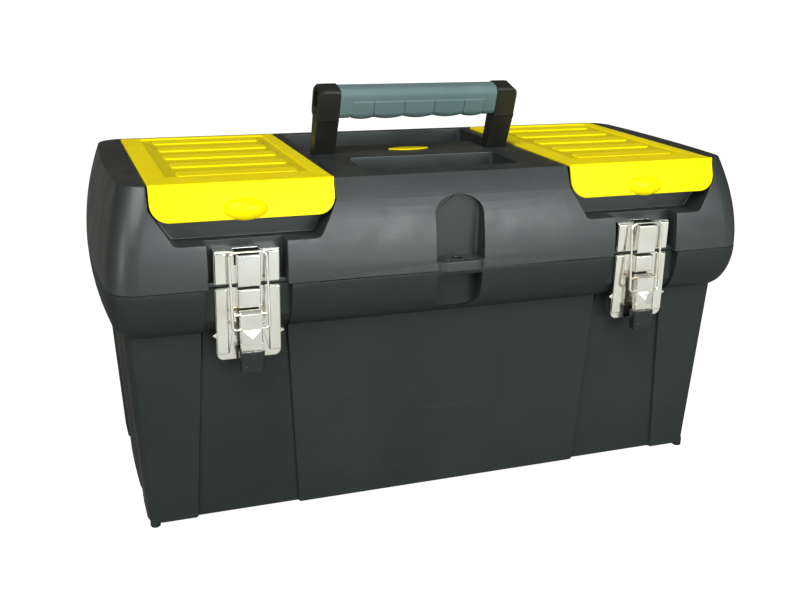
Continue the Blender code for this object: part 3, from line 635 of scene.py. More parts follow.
def makeLid(material):
    lid = addLidBlock("lidShell", 0.0, parting + gap / 2, lidTop)
    cavity = addLidBlock("lidCavity", wall, 0.215, lidTop - wall)
    x, y = lidSizes["wellX"], lidSizes["wellY"]
    carve(cavity, *bothSides(addBox("wellBoss", (x[0] - 0.0055, flapSizes["outer"] + 0.0065),
            (y[0] - 0.0002, flapSizes["rear"] + 0.0075), (lidSizes["wellFloor"] - wall, above))))
    carve(cavity, *bothSides(addFingerRecess(wall, y[0] + 0.0001)))
    half = lidSizes["pocketHalf"] + wall
    carve(cavity, *bothSides(addBox("pocketBoss", around(latchX, half),
            (ahead, lidSizes["pocketBack"] + wall), (0.2, lidSizes["ledge"] + 0.001))))
    carve(cavity, *bothSides(addBox("trunnionBoss", (0.069, 0.1115), (-0.018, 0.006), (0.292, above))))
    half = lidSizes["nicheHalf"] + wall
    carve(cavity, addBox("nicheBoss", (-half, half), (ahead, lidSizes["nicheBack"] + wall), (0.2, 0.2925)))
    for (x, y, floor), draw in ((lidSizes["frontTrough"], 0.003), (lidSizes["rearTrough"], 0.001)):
        carve(cavity, addBowl("troughBoss", (x[0] - wall, x[1] + wall), (y[0] - wall, y[1] + wall),
                floor - wall, draw))
    carve(cavity, addBox("slotBoss", (-0.104, 0.104), (-0.016, 0.04), (0.2925, above)))
    carve(lid, cavity)

    rebate = flapSizes["top"] - flapSizes["sheet"] - gap
    span = (flapSizes["inner"] - 0.0004, flapSizes["outer"] + 0.0004)
    hingeY, hingeZ = flapSizes["hinge"]
    carve(lid, *bothSides(addBox("rebate", span, (ahead, flapSizes["rear"] + 0.0004), (rebate, above))))
    carve(lid, *bothSides(addBox("gutter", span, (hingeY - 0.0045, flapSizes["rear"] + 0.0042),
            (0.297, above))))
    carve(lid, *bothSides(addFingerRecess(0.0, lidSizes["recessBack"])))
    carve(lid, *bothSides(addBowl("well", lidSizes["wellX"], lidSizes["wellY"], lidSizes["wellFloor"],
            0.001)))
    middle = sum(lidSizes["wellX"]) / 2
    floor = lidSizes["wellFloor"] - 0.001
    weld(lid, *bothSides(addBox("dividerLong", around(middle, 0.001),
            (lidSizes["wellY"][0] - 0.001, lidSizes["wellY"][1] + 0.001), (floor, 0.296))))
    weld(lid, *bothSides(addBox("dividerAcross", (lidSizes["wellX"][0] - 0.0005,
            lidSizes["wellX"][1] + 0.0005), (-0.011, -0.009), (floor, 0.295))))
    half = lidSizes["pocketHalf"]
    carve(lid, *bothSides(addBox("latchPocket", around(latchX, half), (ahead, lidSizes["pocketBack"]),
            (0.228, lidSizes["ledge"] + 0.002))))
    carve(lid, *bothSides(addBox("sillFace", (latchX - half - 0.0002, latchX + half + 0.0002),
            (ahead, tubSizes["padY"]), (0.22, 0.229))))
    x, y, floor = lidSizes["legSlot"]
    carve(lid, *bothSides(addBowl("legSlot", x, y, floor, 0.0, 0.002, 0)))
    x, y, floor = lidSizes["frontTrough"]
    carve(lid, addBowl("frontTrough", x, y, floor, 0.0008, 0.005, 0.005))
    x, y, floor = lidSizes["rearTrough"]
    carve(lid, addBowl("rearTrough", x, y, floor, 0.001, 0.004, 0.003))
    carve(lid, addNiche())
    weld(lid, addShelfTab())
    for x in (-lidSizes["slotX"], lidSizes["slotX"]):
        carve(lid, addBox("shelfSlot", around(x, 0.0022), (-0.1395, -0.1365), (0.229, 0.24)))
    carve(lid, addRod("shackleHole", "Z", shackleRadius, (0.22, 0.24), shackleAt))
    carve(lid, addLeaf("badgeSeat", 0.0225, 0.0078, (lidTop - 0.0012, lidTop + 0.01)))
    weld(lid, *bothSides(addBox("hingeArm", around(latchX, lidSizes["knuckleHalf"]), (0.1345, 0.1484),
            (0.2248, 0.232))))
    weld(lid, *bothSides(addBox("hingeDrop", around(latchX, lidSizes["knuckleHalf"]), (0.1413, 0.1484),
            (0.219, 0.2262))))
    weld(lid, *bothSides(addRod("hingeKnuckle", "X", 0.0037, around(latchX, lidSizes["knuckleHalf"]),
            hingeAt)))
    carve(lid, *bothSides(addRod("hingeBore", "X", hingeBore, around(latchX, 0.009), hingeAt)))
    soften(lid, lidSizes["edge"])
    place(lid, "lid", "lid_plastic", material, "lid")
    print("lid made:", len(lid.data.polygons), "faces")


# one organizer lid: ribbed plate, deep front flange with a domed thumb tab, rear barrels
def makeFlap(material):
    x = (flapSizes["inner"], flapSizes["outer"])
    middle = sum(x) / 2
    top = flapSizes["top"]
    front = flapSizes["front"]
    flap = addBox("flapRight", x, (front, flapSizes["rear"]), (top - flapSizes["sheet"], top))
    roundEdges(flap, lambda middle, way: abs(way.z) > 0.9 and middle.y > 0, 0.003, 4)
    flange = addBox("flange", x, (front, front + 0.0026), (flapSizes["flangeBottom"], top))
    roundEdges(flange, lambda middle, way: abs(way.y) > 0.9 and middle.z < 0.285, flapSizes["flangeCorner"],
            10)
    lean = math.atan(flapSizes["flangeLean"] / (top - flapSizes["flangeBottom"]))
    openEdit(flange)
    pickAll()
    stretch(z=1 / math.cos(lean), centre=(middle, front, top))
    bpy.ops.transform.rotate(value=-lean * turnSign, orient_axis="X", center_override=(middle, front, top))
    closeEdit()
    weld(flap, flange)
    openEdit(flap)
    pickAll()
    bpy.ops.mesh.dissolve_limited(angle_limit=flatAngle)
    pickEdges(flap, lambda middle, way: abs(way.x) > 0.9 and middle.z > top - 0.0002
            and middle.y < front + 0.0005)
    roundPicked(0.0022, 5)
    closeEdit()
    for grow, cut in ((0.0, False), (-0.0012, True)):
        y, z = flapSizes["tab"]
        sizeX, sizeY, sizeZ = flapSizes["tabHalf"]
        dome = addBall("thumbTab", (middle, y + (0.0036 if cut else 0), z),
                (sizeX + grow, sizeY - grow, sizeZ + grow), 48)
        (carve if cut else weld)(flap, dome)
    panel = addBox("panel", (x[0] + 0.018, x[1] - 0.012), (-0.093, 0.101),
            (top - flapSizes["panelDepth"], above))
    roundEdges(panel, lambda middle, way: abs(way.z) > 0.9, 0.0025, 4)
    carve(flap, panel)
    for i in range(flapSizes["ribs"]):
        y = flapSizes["ribStart"] + flapSizes["ribPitch"] * i
        rib = addBox("rib", (x[0] + 0.0285, x[1] - 0.0215), around(y, flapSizes["ribHalf"]),
                (top - flapSizes["panelDepth"] - 0.0004, top - 0.0001))
        roundEdges(rib, lambda middle, way: abs(way.z) > 0.9, 0.0045, 6)
        weld(flap, rib)
    soften(flap, flapSizes["edge"], 3)
    y, z = flapSizes["hinge"]
    length = flapSizes["barrel"]
    for low in (x[0] + 0.0002, x[1] - length - 0.0002):
        weld(flap, addRod("barrel", "X", 0.003, (low, low + length), (y, z), 24))
        arm = (low + pinRadius, low + length - pinRadius)
        weld(flap, addBox("barrelArm", arm, (y - 0.0016, y + 0.0012), (z, top - 0.0012)))
    for low in (x[0] - 0.0028, x[1] - 0.004):
        weld(flap, addRod("stub", "X", 0.0017, (low, low + 0.0068), (y, z), 20))
    shadeSoft(flap)
    other = shifted(flap, "flapLeft", x=-sum(x))
    for piece, side in ((flap, "right"), (other, "left")):
        place(piece, f"organizer_{side}", "yellow_plastic", material, f"organizer_lid_{side}")
    print("organizer lids made:", len(flap.data.polygons), "faces each")


handleSizes = {
    "pivot": (-0.004, 0.304),
    "lean": 16,
    "legInner": 0.078,
    "legOuter": 0.099,
    "legHalf": 0.006,
    "headHalf": 0.0105,
    "headLow": 0.0405,
    "height": 0.07,
    "headCorner": 0.0075,
    "gripLow": 0.0412,
    "gripCorner": 0.0068,
    "padEnd": 0.0655,
    "fingerPitch": 0.03,
    "fingerDepth": 0.0022,
    "padTop": 0.0592,
    "edge": 0.0007,
}


# lean a piece of the handle forward about its pivot
def leanForward(piece):
    openEdit(piece)
    pickAll()
    bpy.ops.transform.rotate(value=math.radians(handleSizes["lean"]) * turnSign, orient_axis="X",
            center_override=(0, *handleSizes["pivot"]))
    closeEdit()


def makeHandle(material, gripMaterial):
    y, z = handleSizes["pivot"]
    inner, outer = handleSizes["legInner"], handleSizes["legOuter"]
    top = z + handleSizes["height"]
    low = z + handleSizes["headLow"]
    handle = addBox("handleFrame", (-inner - 0.0004, inner + 0.0004), around(y, 0.005),
            (z + 0.048, z + 0.065))
    leg = addBox("leg", (inner, outer), around(y, handleSizes["legHalf"]), (z, low + 0.0006))
    openEdit(leg)
    pickVerts(leg, lambda co: co.z > low and co.y < y)
    slide(y=handleSizes["legHalf"] - handleSizes["headHalf"])
    closeEdit()
    head = addBox("head", (inner, outer), around(y, handleSizes["headHalf"]), (low, top))
    roundEdges(head, lambda middle, way: abs(way.y) > 0.9 and middle.x > outer - 0.001
            and middle.z > top - 0.001, handleSizes["headCorner"], 8)
    roundEdges(head, lambda middle, way: abs(way.x) > 0.9 and middle.z > top - 0.001, 0.003, 5)
    roundEdges(head, lambda middle, way: abs(way.x) > 0.9 and middle.z < low + 0.001 and middle.y > y,
            0.004, 5)
    weld(leg, head)
    hollow = addBox("headHollow", (outer - 0.009, outer + 0.01), around(y, 0.0072),
            (low + 0.004, top - 0.004))
    roundEdges(hollow, lambda middle, way: abs(way.x) > 0.9, 0.0068, 8)
    carve(leg, hollow)
    weld(handle, *bothSides(leg))
    soften(handle, handleSizes["edge"], 3)
    weld(handle, *bothSides(addRod("legFoot", "X", 0.0062, (inner + 0.0003, outer - 0.0003), (y, z), 48)))
    weld(handle, *bothSides(addRod("trunnion", "X", 0.004, (inner - 0.003, outer + 0.0045), (y, z))))
    shadeSoft(handle)
    leanForward(handle)
    place(handle, "handle", "handle_plastic", material, "handle_frame")

    half = handleSizes["headHalf"]
    length = inner - gap
    grip = addBox("handleGrip", (-length, length), around(y, half), (z + handleSizes["gripLow"], top))
    openEdit(grip)
    pickEdges(grip, lambda middle, way: abs(way.x) > 0.9)
    roundPicked(handleSizes["gripCorner"], 7)
    pitch = handleSizes["fingerPitch"]
    joints = [-handleSizes["padEnd"], -1.5 * pitch, -0.5 * pitch, 0.5 * pitch, 1.5 * pitch,
            handleSizes["padEnd"]]
    for x in joints:
        pickAll()
        bpy.ops.mesh.bisect(plane_co=(x, 0, 0), plane_no=(1, 0, 0))
    pickAll()
    bpy.ops.mesh.bisect(plane_co=(0, 0, z + handleSizes["padTop"]), plane_no=(0, 0, 1))
    ends = [-length, *joints, length]
    for low, high in zip(ends, ends[1:]):
        pickEdges(grip, lambda middle, way: abs(way.x) > 0.9 and low < middle.x < high)
        bpy.ops.mesh.subdivide(number_cuts=max(2, round((high - low) / 0.0025) - 1))
    mesh = bmesh.from_edit_mesh(grip.data)
    stations = sorted({round(vert.co.x, 5) for vert in mesh.verts})
    for x in stations:
        if abs(x) > joints[-1]:
            continue
        low, high = [(a, b) for a, b in zip(joints, joints[1:]) if a <= x + 1e-6 and x - 1e-6 <= b][0]
        share = (2 * x - low - high) / (high - low)
        depth = handleSizes["fingerDepth"] * min(1, (high - low) / pitch)
        pickVerts(grip, lambda co: abs(co.x - x) < 0.00005 and co.z < z + handleSizes["gripLow"] + 0.0052)
        slide(z=depth * share * share - 0.0004)
    for low, high in zip(joints, joints[1:]):
        pickFaces(grip, lambda middle, normal: low < middle.x < high and normal.y < -0.05
                and middle.z < z + handleSizes["padTop"])
        bpy.ops.mesh.inset(thickness=0.0008, depth=0.001, use_even_offset=True)
    closeEdit()
    shadeSoft(grip, 40)
    hole = addBox("gripBore", (-0.09, 0.09), around(y, 0.0053), (z + 0.0477, z + 0.0653))
    carve(grip, hole)
    shadeSoft(grip, 40)
    leanForward(grip)
    place(grip, "handle", "grip_rubber", gripMaterial, "handle_grip")
    print("handle made")


latchSizes = {
    "half": 0.02715,
    "sheet": 0.0012,
    "plateY": -0.1318,
    "plate": (0.1605, 0.223),
    "keeper": (0.2262, 0.254),
    "channelHalf": 0.0168,
    "raisedHalf": 0.0094,
    "leverHalf": 0.009,
    "tipFront": -0.1487,
    "tongueHalf": 0.0098,
    "leverPivot": (-0.1405, 0.2015),
    "bailPivot": (-0.1437, 0.1895),
    "bailHalf": 0.0155,
    "bailTop": (-0.1374, 0.2536),
    "wire": 0.00125,
    "padRise": 0.0013,
    "edge": 0.0003,
}


# the raised panels each side of the pressed channel, with rolled edges
def addSidePads(sheet, x, low, high):
    front = latchSizes["plateY"] - latchSizes["sheet"]
    for side in (-1, 1):
        span = tuple(sorted((x + side * (latchSizes["channelHalf"] + 0.0003),
                x + side * (latchSizes["half"] - 0.0001))))
        pad = addBox("sidePad", span, (front - latchSizes["padRise"], front + 0.0004), (low, high))
        roundEdges(pad, lambda middle, way: middle.y < front and abs(way.y) < 0.1,
                latchSizes["padRise"] * 0.9, 4)
        weld(sheet, pad)


# pressed sheet that the lever and the loop hang from
def addLatchPlate(x):
    half, y = latchSizes["half"], latchSizes["plateY"]
    front = y - latchSizes["sheet"]
    low, high = latchSizes["plate"]
    plate = addBox("latchPlate", around(x, half), (front, y), (low, high))
    roundEdges(plate, lambda middle, way: abs(way.y) > 0.9 and middle.z < low + 0.001, 0.0045, 6)
    roundEdges(plate, lambda middle, way: abs(way.z) > 0.2 and middle.y < front + 0.0001, 0.0009, 3)
    for side in (-1, 1):
        edge = x + side * half
        weld(plate, addBox("plateSide", tuple(sorted((edge, edge - side * 0.001))), (y - 0.0004, -0.1228),
                (low + 0.005, 0.1806)))
        wing = addBox("plateWing", tuple(sorted((edge - side * 0.0005, edge + side * 0.003))),
                (y - 0.0009, y - 0.0001), (0.1798, 0.1847))
        openEdit(wing)
        pickVerts(wing, lambda co: side * (co.x - edge) > 0.002)
        stretch(1, 0.5, 0.15, (edge, y - 0.0005, 0.1822))
        closeEdit()
        weld(plate, wing)
        ear = addBox("pinEar", tuple(sorted((x + side * 0.01, x + side * 0.0112))), (-0.144, y - 0.0005),
                (0.1972, 0.2058))
        roundEdges(ear, lambda middle, way: abs(way.x) > 0.9 and middle.y < -0.143, 0.004, 5)
        weld(plate, ear)
    half = latchSizes["channelHalf"]
    channel = addBox("pressedChannel", around(x, half), (ahead, front + 0.0006), (0.1885, 0.24))
    roundEdges(channel, lambda middle, way: abs(way.y) > 0.9 and middle.z < 0.2, 0.0075, 6)
    weld(channel, addBox("lowerChannel", around(x, latchSizes["raisedHalf"]), (ahead, front + 0.0006),
            (0.15, 0.199)))
    raised = addBox("raisedStrip", around(x, latchSizes["raisedHalf"]), (-0.1405, y - 0.0006),
            (0.2068, 0.2228))
    roundEdges(raised, lambda middle, way: middle.y < -0.14, 0.0014, 4)
    inner = addBox("raisedHollow", around(x, 0.0084), (-0.1396, y + 0.001), (0.2, 0.2218))
    carve(plate, channel)
    weld(plate, raised)
    carve(plate, inner)
    carve(plate, addRod("earBore", "X", pinRadius, around(x, 0.02), latchSizes["leverPivot"], 20))
    addSidePads(plate, x, low + 0.0052, high - 0.0004)
    soften(plate, latchSizes["edge"], 2)
    return plate


# striker on the lid, with the hook that the loop pulls on
def addKeeper(x):
    half, y = latchSizes["half"], latchSizes["plateY"]
    front = y - latchSizes["sheet"]
    low, high = latchSizes["keeper"]
    keeper = addBox("keeper", around(x, half), (front, y), (low, high))
    roundEdges(keeper, lambda middle, way: abs(way.z) > 0.9 and middle.y < front + 0.0001, 0.0009, 3)
    roundEdges(keeper, lambda middle, way: abs(way.x) > 0.9 and middle.z > high - 0.001
            and middle.y < front + 0.0001, 0.001, 4)
    weld(keeper, addBox("topFlange", (x - half + 0.0002, x + half - 0.0002),
            (y - 0.0005, lidSizes["pocketBack"] - gap), (high - 0.0012, high - 0.0001)))
    carve(keeper, addBox("pressedChannel", around(x, latchSizes["channelHalf"]), (ahead, front + 0.0006),
            (0.2, 0.2495)))
    carve(keeper, addBox("window", around(x, 0.0106), (-0.15, lidSizes["pocketBack"] - 0.003),
            (0.242, 0.26)))
    hook = latchSizes["tongueHalf"]
    tongue = addBox("tongue", around(x, hook), (-0.1418, y - 0.0006), (low - 0.0008, 0.2524))
    roundEdges(tongue, lambda middle, way: middle.y < -0.1415, 0.0016, 4)
    weld(keeper, tongue)
    carve(keeper, addBox("tongueHollow", (x - hook + 0.001, x + hook - 0.001), (-0.1408, y + 0.001),
            (low + 0.0002, 0.26)))
    addSidePads(keeper, x, low + 0.0004, high - 0.0012)
    soften(keeper, latchSizes["edge"], 2)
    return keeper


# lever with pressed facets, a barrel for its pin and a tongue for its tip
def addLever(x):
    y, z = latchSizes["leverPivot"]
    half = latchSizes["leverHalf"]
    ridge = -0.1478
    lever = addBox("lever", around(x, half), (ridge, y + 0.001), (z - 0.0252, z + 0.003))
    facets = [((x, ridge, z), (-0.3, -1, 0)), ((x, ridge, z), (0.3, -1, 0)),
            ((x, ridge, z - 0.0195), (0, -1, 0.35)), ((x, y - 0.0028, z + 0.0028), (0, -1, 1)),
            ((x, y + 0.001, z - 0.0252), (0, 1, -0.08))]
    openEdit(lever)
    for point, normal in facets:
        cutAway(point, normal)
    closeEdit()
    faceOutwards(lever)
    weld(lever, addBox("leverShoulder", around(x, half), (ridge + 0.0024, y + 0.0008),
            (z - 0.013, z + 0.001)))
    weld(lever, addBox("leverFoot", around(x, half), (ridge + 0.0022, y + 0.0004),
            (z - 0.0312, z - 0.0246)))
    weld(lever, addRod("leverBarrel", "X", 0.004, (x - half + 0.0003, x + half - 0.0003), (y, z)))
    weld(lever, addBox("tongue", around(x, 0.007), (-0.144, -0.1416), (0.1575, 0.176)))
    carve(lever, addRod("leverBore", "X", pinRadius, around(x, 0.02), (y, z), 20))
    soften(lever, 0.00035, 2, 12)
    return lever


def addLeverTip(x):
    half = latchSizes["leverHalf"] + 0.0016
    front = latchSizes["tipFront"]
    tip = addBox("leverTip", around(x, half), (front, -0.1372), (0.151, 0.1704))
    openEdit(tip)
    pickVerts(tip, lambda co: co.z < 0.16)
    stretch(0.9, 0.8, 1, (x, -0.1425, 0.16))
    for side in (-1, 1):
        cutAway((x + side * 0.0035, front - 0.0002, 0.16), (side * 0.28, -1, -0.04))
    pickEdges(tip, lambda middle, way: middle.z < 0.1515
            or (abs(way.z) > 0.8 and abs(middle.x - x) > half - 0.003))
    roundPicked(0.002, 4)
    closeEdit()
    faceOutwards(tip)
    carve(tip, addBox("tongueSlot", around(x, 0.0074), (-0.1444, -0.1412), (0.1571, 0.18)))
    soften(tip, 0.0005, 3)
    for side in (-1, 1):
        carve(tip, addBall("dimple", (x + side * 0.0058, front, 0.1583), (0.0014, 0.0014, 0.0014), 24))
    shadeSoft(tip)
    return tip


# bent wire loop, hooked behind the tongue
def addBail(x):
    y, z = latchSizes["bailPivot"]
    topY, topZ = latchSizes["bailTop"]
    half = latchSizes["bailHalf"]
    end, bend, foot = 0.0064, 0.0052, 0.003
    route = [(end, 0.0)]
    route += [(half - foot + foot * math.sin(math.radians(a)), foot - foot * math.cos(math.radians(a)))
            for a in range(0, 91, 18)]
    rise = topZ - z
    route += [(half - bend + bend * math.cos(math.radians(a)),
            rise - bend + bend * math.sin(math.radians(a))) for a in range(0, 91, 15)]
    route += [(-px, pz) for px, pz in reversed(route)]
    curve = bpy.data.curves.new("bail", "CURVE")
    curve.dimensions = "3D"
    curve.bevel_depth = latchSizes["wire"]
    curve.bevel_resolution = 4
    curve.use_fill_caps = True
    spline = curve.splines.new("POLY")
    spline.points.add(len(route) - 1)
    for point, (px, pz) in zip(spline.points, route):
        point.co = (x + px, y + (topY - y) * max(0.0, pz - foot) / (rise - foot), z + pz, 1)
    bail = bpy.data.objects.new("bail", curve)
    bpy.context.scene.collection.objects.link(bail)
    activate(bail)
    bpy.ops.object.convert(target="MESH")
    bail = bpy.context.object
    faceOutwards(bail)
    shadeSoft(bail, 50)
    return bail


def makeLatches(metal, tipMaterial):
    makers = {
        "latchPlate": (addLatchPlate, "body", "latch_plate_{}", "nickel_plate", metal),
        "keeper": (addKeeper, "lid", "keeper_plate_{}", "nickel_plate", metal),
        "lever": (addLever, "lever_{}", "latch_lever_{}", "nickel_plate", metal),
        "leverTip": (addLeverTip, "lever_{}", "lever_tip_{}", "tip_rubber", tipMaterial),
        "bail": (addBail, "bail_{}", "latch_bail_{}", "nickel_plate", metal),
    }
    for name, (make, body, node, slot, material) in makers.items():
        right = make(latchX)
        right.name = right.data.name = f"{name}Right"
        left = shifted(right, f"{name}Left", x=-2 * latchX)
        for side, piece in (("left", left), ("right", right)):
            place(piece, body.format(side), slot, material, node.format(side))
    print("latches made")


def makeBadge(material):
    low = lidTop - 0.0009
    badge = addLeaf("badgePlate", 0.0205, 0.0062, (low, lidTop + 0.0009))
    soften(badge, 0.0004, 3)
    place(badge, "lid", "yellow_plastic", material, "badge")


traySizes = {
    "half": (0.262, 0.1035),
    "rimHalf": (0.289, 0.116),
    "floor": 0.125,
    "rim": (0.1844, 0.1866),
    "wall": 0.0022,
    "draft": 0.004,
    "edge": 0.0005,
}


def addTub(name, halfX, halfY, corner, low, high, draft):
    block = addSlab(name, halfX - draft, halfY - draft, corner, low, 6)
    loftUp(block, (low, halfX - draft, halfY - draft), [(high, halfX, halfY)])
    return block


# tote tray that hangs by its rim inside the belt
def makeTray(material):
    halfX, halfY = traySizes["half"]
    floor, draft, thick = traySizes["floor"], traySizes["draft"], traySizes["wall"]
    low, high = traySizes["rim"]
    tray = addTub("trayShell", halfX, halfY, 0.014, floor, high - 0.0002, draft)
    weld(tray, addTub("trayRim", *traySizes["rimHalf"], 0.03, low, high, 0.0))
    carve(tray, addTub("trayHollow", halfX - thick, halfY - thick, 0.012, floor + thick, high + 0.01,
            draft))
    weld(tray, addBox("traySpine", (-halfX + 0.001, halfX - 0.001), (-0.0015, 0.0015),
            (floor + 0.001, high - 0.0004)))
    for x in (-0.095, 0.095):
        weld(tray, addBox("trayDivider", around(x, 0.001), (0.0, halfY - 0.001),
                (floor + 0.001, high - 0.008)))
    bar = addBox("trayGrip", (-0.062, 0.062), (-0.007, 0.007), (high - 0.012, 0.228))
    hole = addBox("gripHole", (-0.048, 0.048), (-0.02, 0.02), (0.191, 0.217))
    for tool, corner in ((bar, 0.0035), (hole, 0.006)):
        roundEdges(tool, lambda middle, way: abs(way.y) > 0.9 or (corner < 0.005 and middle.z > 0.227),
                corner, 5)
    weld(tray, bar)
    carve(tray, hole)
    soften(tray, traySizes["edge"])
    place(tray, "tray", "tray_plastic", material, "tray")
    print("tray made")


# shader node groups, each built once and set in several materials with its own values
def addNode(tree, kind, links=None, **settings):
    node = tree.nodes.new("ShaderNode" + kind)
    for key, value in settings.items():
        setattr(node, key, value)
    for socket, source in (links or {}).items():
        if isinstance(source, bpy.types.NodeSocket):
            tree.links.new(source, node.inputs[socket])
        else:
            node.inputs[socket].default_value = source
    return node


def mixColours(tree, factor, first, second):
    node = addNode(tree, "Mix", {0: factor}, data_type="RGBA", clamp_factor=True)
    for socket, source in ((6, first), (7, second)):
        if isinstance(source, bpy.types.NodeSocket):
            tree.links.new(source, node.inputs[socket])
        else:
            node.inputs[socket].default_value = (*source, 1.0)
    return node.outputs[2]


def maths(tree, operation, first, second):
    return addNode(tree, "Math", {0: first, 1: second}, operation=operation).outputs[0]


def times(tree, first, second):
    return maths(tree, "MULTIPLY", first, second)


def spread(tree, value, low, high, newLow=0.0, newHigh=1.0):
    links = {"Value": value, "From Min": low, "From Max": high, "To Min": newLow, "To Max": newHigh}
    return addNode(tree, "MapRange", links).outputs["Result"]


def newGroup(name, inputs, outputs):
    group = bpy.data.node_groups.new(name, "ShaderNodeTree")
    for label, value in inputs.items():
        group.interface.new_socket(label, in_out="INPUT",
                socket_type="NodeSocketFloat").default_value = value
    for label in outputs:
        group.interface.new_socket(label, in_out="OUTPUT", socket_type="NodeSocketFloat")
    given = group.nodes.new("NodeGroupInput")
    result = group.nodes.new("NodeGroupOutput")
    return group, given.outputs, result.inputs


# the fine stipple of a textured mould
def makeMouldGrain():
    group, given, result = newGroup("mouldGrain", {"Scale": 900.0, "Coarse": 0.35}, ["Height"])
    spot = addNode(group, "TexCoord").outputs["Object"]
    stipple = addNode(group, "TexNoise",
            {"Vector": spot, "Scale": given["Scale"], "Detail": 2.0}).outputs["Fac"]
    wide = times(group, given["Scale"], 0.45)
    pebble = addNode(group, "TexVoronoi", {"Vector": spot, "Scale": wide}).outputs["Distance"]
    height = maths(group, "ADD", stipple, times(group, pebble, given["Coarse"]))
    group.links.new(height, result["Height"])
    return group


# slow change of tone over a moulding, and the patches left by handling
def makeToneDrift():
    group, given, result = newGroup("toneDrift", {"Scale": 9.0}, ["Cloud", "Patch"])
    spot = addNode(group, "TexCoord").outputs["Object"]
    cloud = addNode(group, "TexNoise", {"Vector": spot, "Scale": given["Scale"],
            "Detail": 4.0}).outputs["Fac"]
    closer = times(group, given["Scale"], 4.3)
    patch = addNode(group, "TexNoise", {"Vector": spot, "Scale": closer, "Detail": 5.0, "Distortion": 0.6})
    group.links.new(spread(group, cloud, 0.35, 0.68), result["Cloud"])
    group.links.new(spread(group, patch.outputs["Fac"], 0.38, 0.66), result["Patch"])
    return group


# edges lighter from wear and from a painted highlight, on the plated metal a painted gold reflection;
# broken up by a fine pattern
def makeEdgeWearAndLight():
    group, given, result = newGroup("edgeWearAndPaintedLight", {"Amount": 0.5, "Start": 0.53}, ["Mask"])
    spot = addNode(group, "TexCoord").outputs["Object"]
    edge = addNode(group, "NewGeometry").outputs["Pointiness"]
    stop = maths(group, "ADD", given["Start"], 0.09)
    edgeBand = addNode(group, "MapRange", {"Value": edge, "From Min": given["Start"], "From Max": stop})
    breakup = addNode(group, "TexNoise", {"Vector": spot, "Scale": 160.0, "Detail": 4.0}).outputs["Fac"]
    broken = spread(group, breakup, 0.3, 0.62, 0.25, 1.0)
    mask = times(group, edgeBand.outputs["Result"], broken)
    group.links.new(times(group, mask, given["Amount"]), result["Mask"])
    return group


# fine dust on faces that look up
def makeSettledDust():
    group, given, result = newGroup("settledDust", {"Amount": 0.2}, ["Mask"])
    coordinate = addNode(group, "TexCoord").outputs
    up = addNode(group, "SeparateXYZ", {"Vector": coordinate["Normal"]}).outputs["Z"]
    lying = spread(group, up, 0.55, 1.0)
    cloud = addNode(group, "TexNoise", {"Vector": coordinate["Object"], "Scale": 38.0,
            "Detail": 6.0}).outputs["Fac"]
    speck = addNode(group, "TexNoise", {"Vector": coordinate["Object"], "Scale": 620.0,
            "Detail": 2.0}).outputs["Fac"]
    veil = times(group, spread(group, cloud, 0.4, 0.75), spread(group, speck, 0.45, 0.7))
    mask = times(group, times(group, lying, veil), given["Amount"])
    group.links.new(mask, result["Mask"])
    return group


# hairline scratches running in two directions
def makeHairlines():
    group, given, result = newGroup("hairlines", {"Amount": 0.3}, ["Mask"])
    spot = addNode(group, "TexCoord").outputs["Object"]
    lines = []
    for turn, squash in (((0.3, 0.5, 0.2), (9, 700, 700)), ((0.1, 1.2, 0.9), (7, 520, 520))):
        turned = addNode(group, "Mapping",
                {"Vector": spot, "Rotation": turn, "Scale": squash}).outputs["Vector"]
        streak = addNode(group, "TexNoise", {"Vector": turned, "Scale": 1.0, "Detail": 1.0}).outputs["Fac"]
        lines.append(spread(group, streak, 0.69, 0.75))
    both = maths(group, "MAXIMUM", *lines)
    group.links.new(times(group, both, given["Amount"]), result["Mask"])
    return group


groups = {
    "grain": makeMouldGrain(),
    "drift": makeToneDrift(),
    "edgeWearAndLight": makeEdgeWearAndLight(),
    "dust": makeSettledDust(),
    "hairlines": makeHairlines(),
}


def useGroup(tree, name, **values):
    node = tree.nodes.new("ShaderNodeGroup")
    node.node_tree = groups[name]
    for label, value in values.items():
        node.inputs[label].default_value = value
    return node.outputs


def newMaterial(name, specular, metallic=0.0):
    material = bpy.data.materials.new(name)
    material.use_nodes = True
    tree = material.node_tree
    shader = tree.nodes["Principled BSDF"]
    shader.inputs["Specular IOR Level"].default_value = specular
    shader.inputs["Metallic"].default_value = metallic
    return material, tree, shader


dustColour = (0.22, 0.21, 0.18)


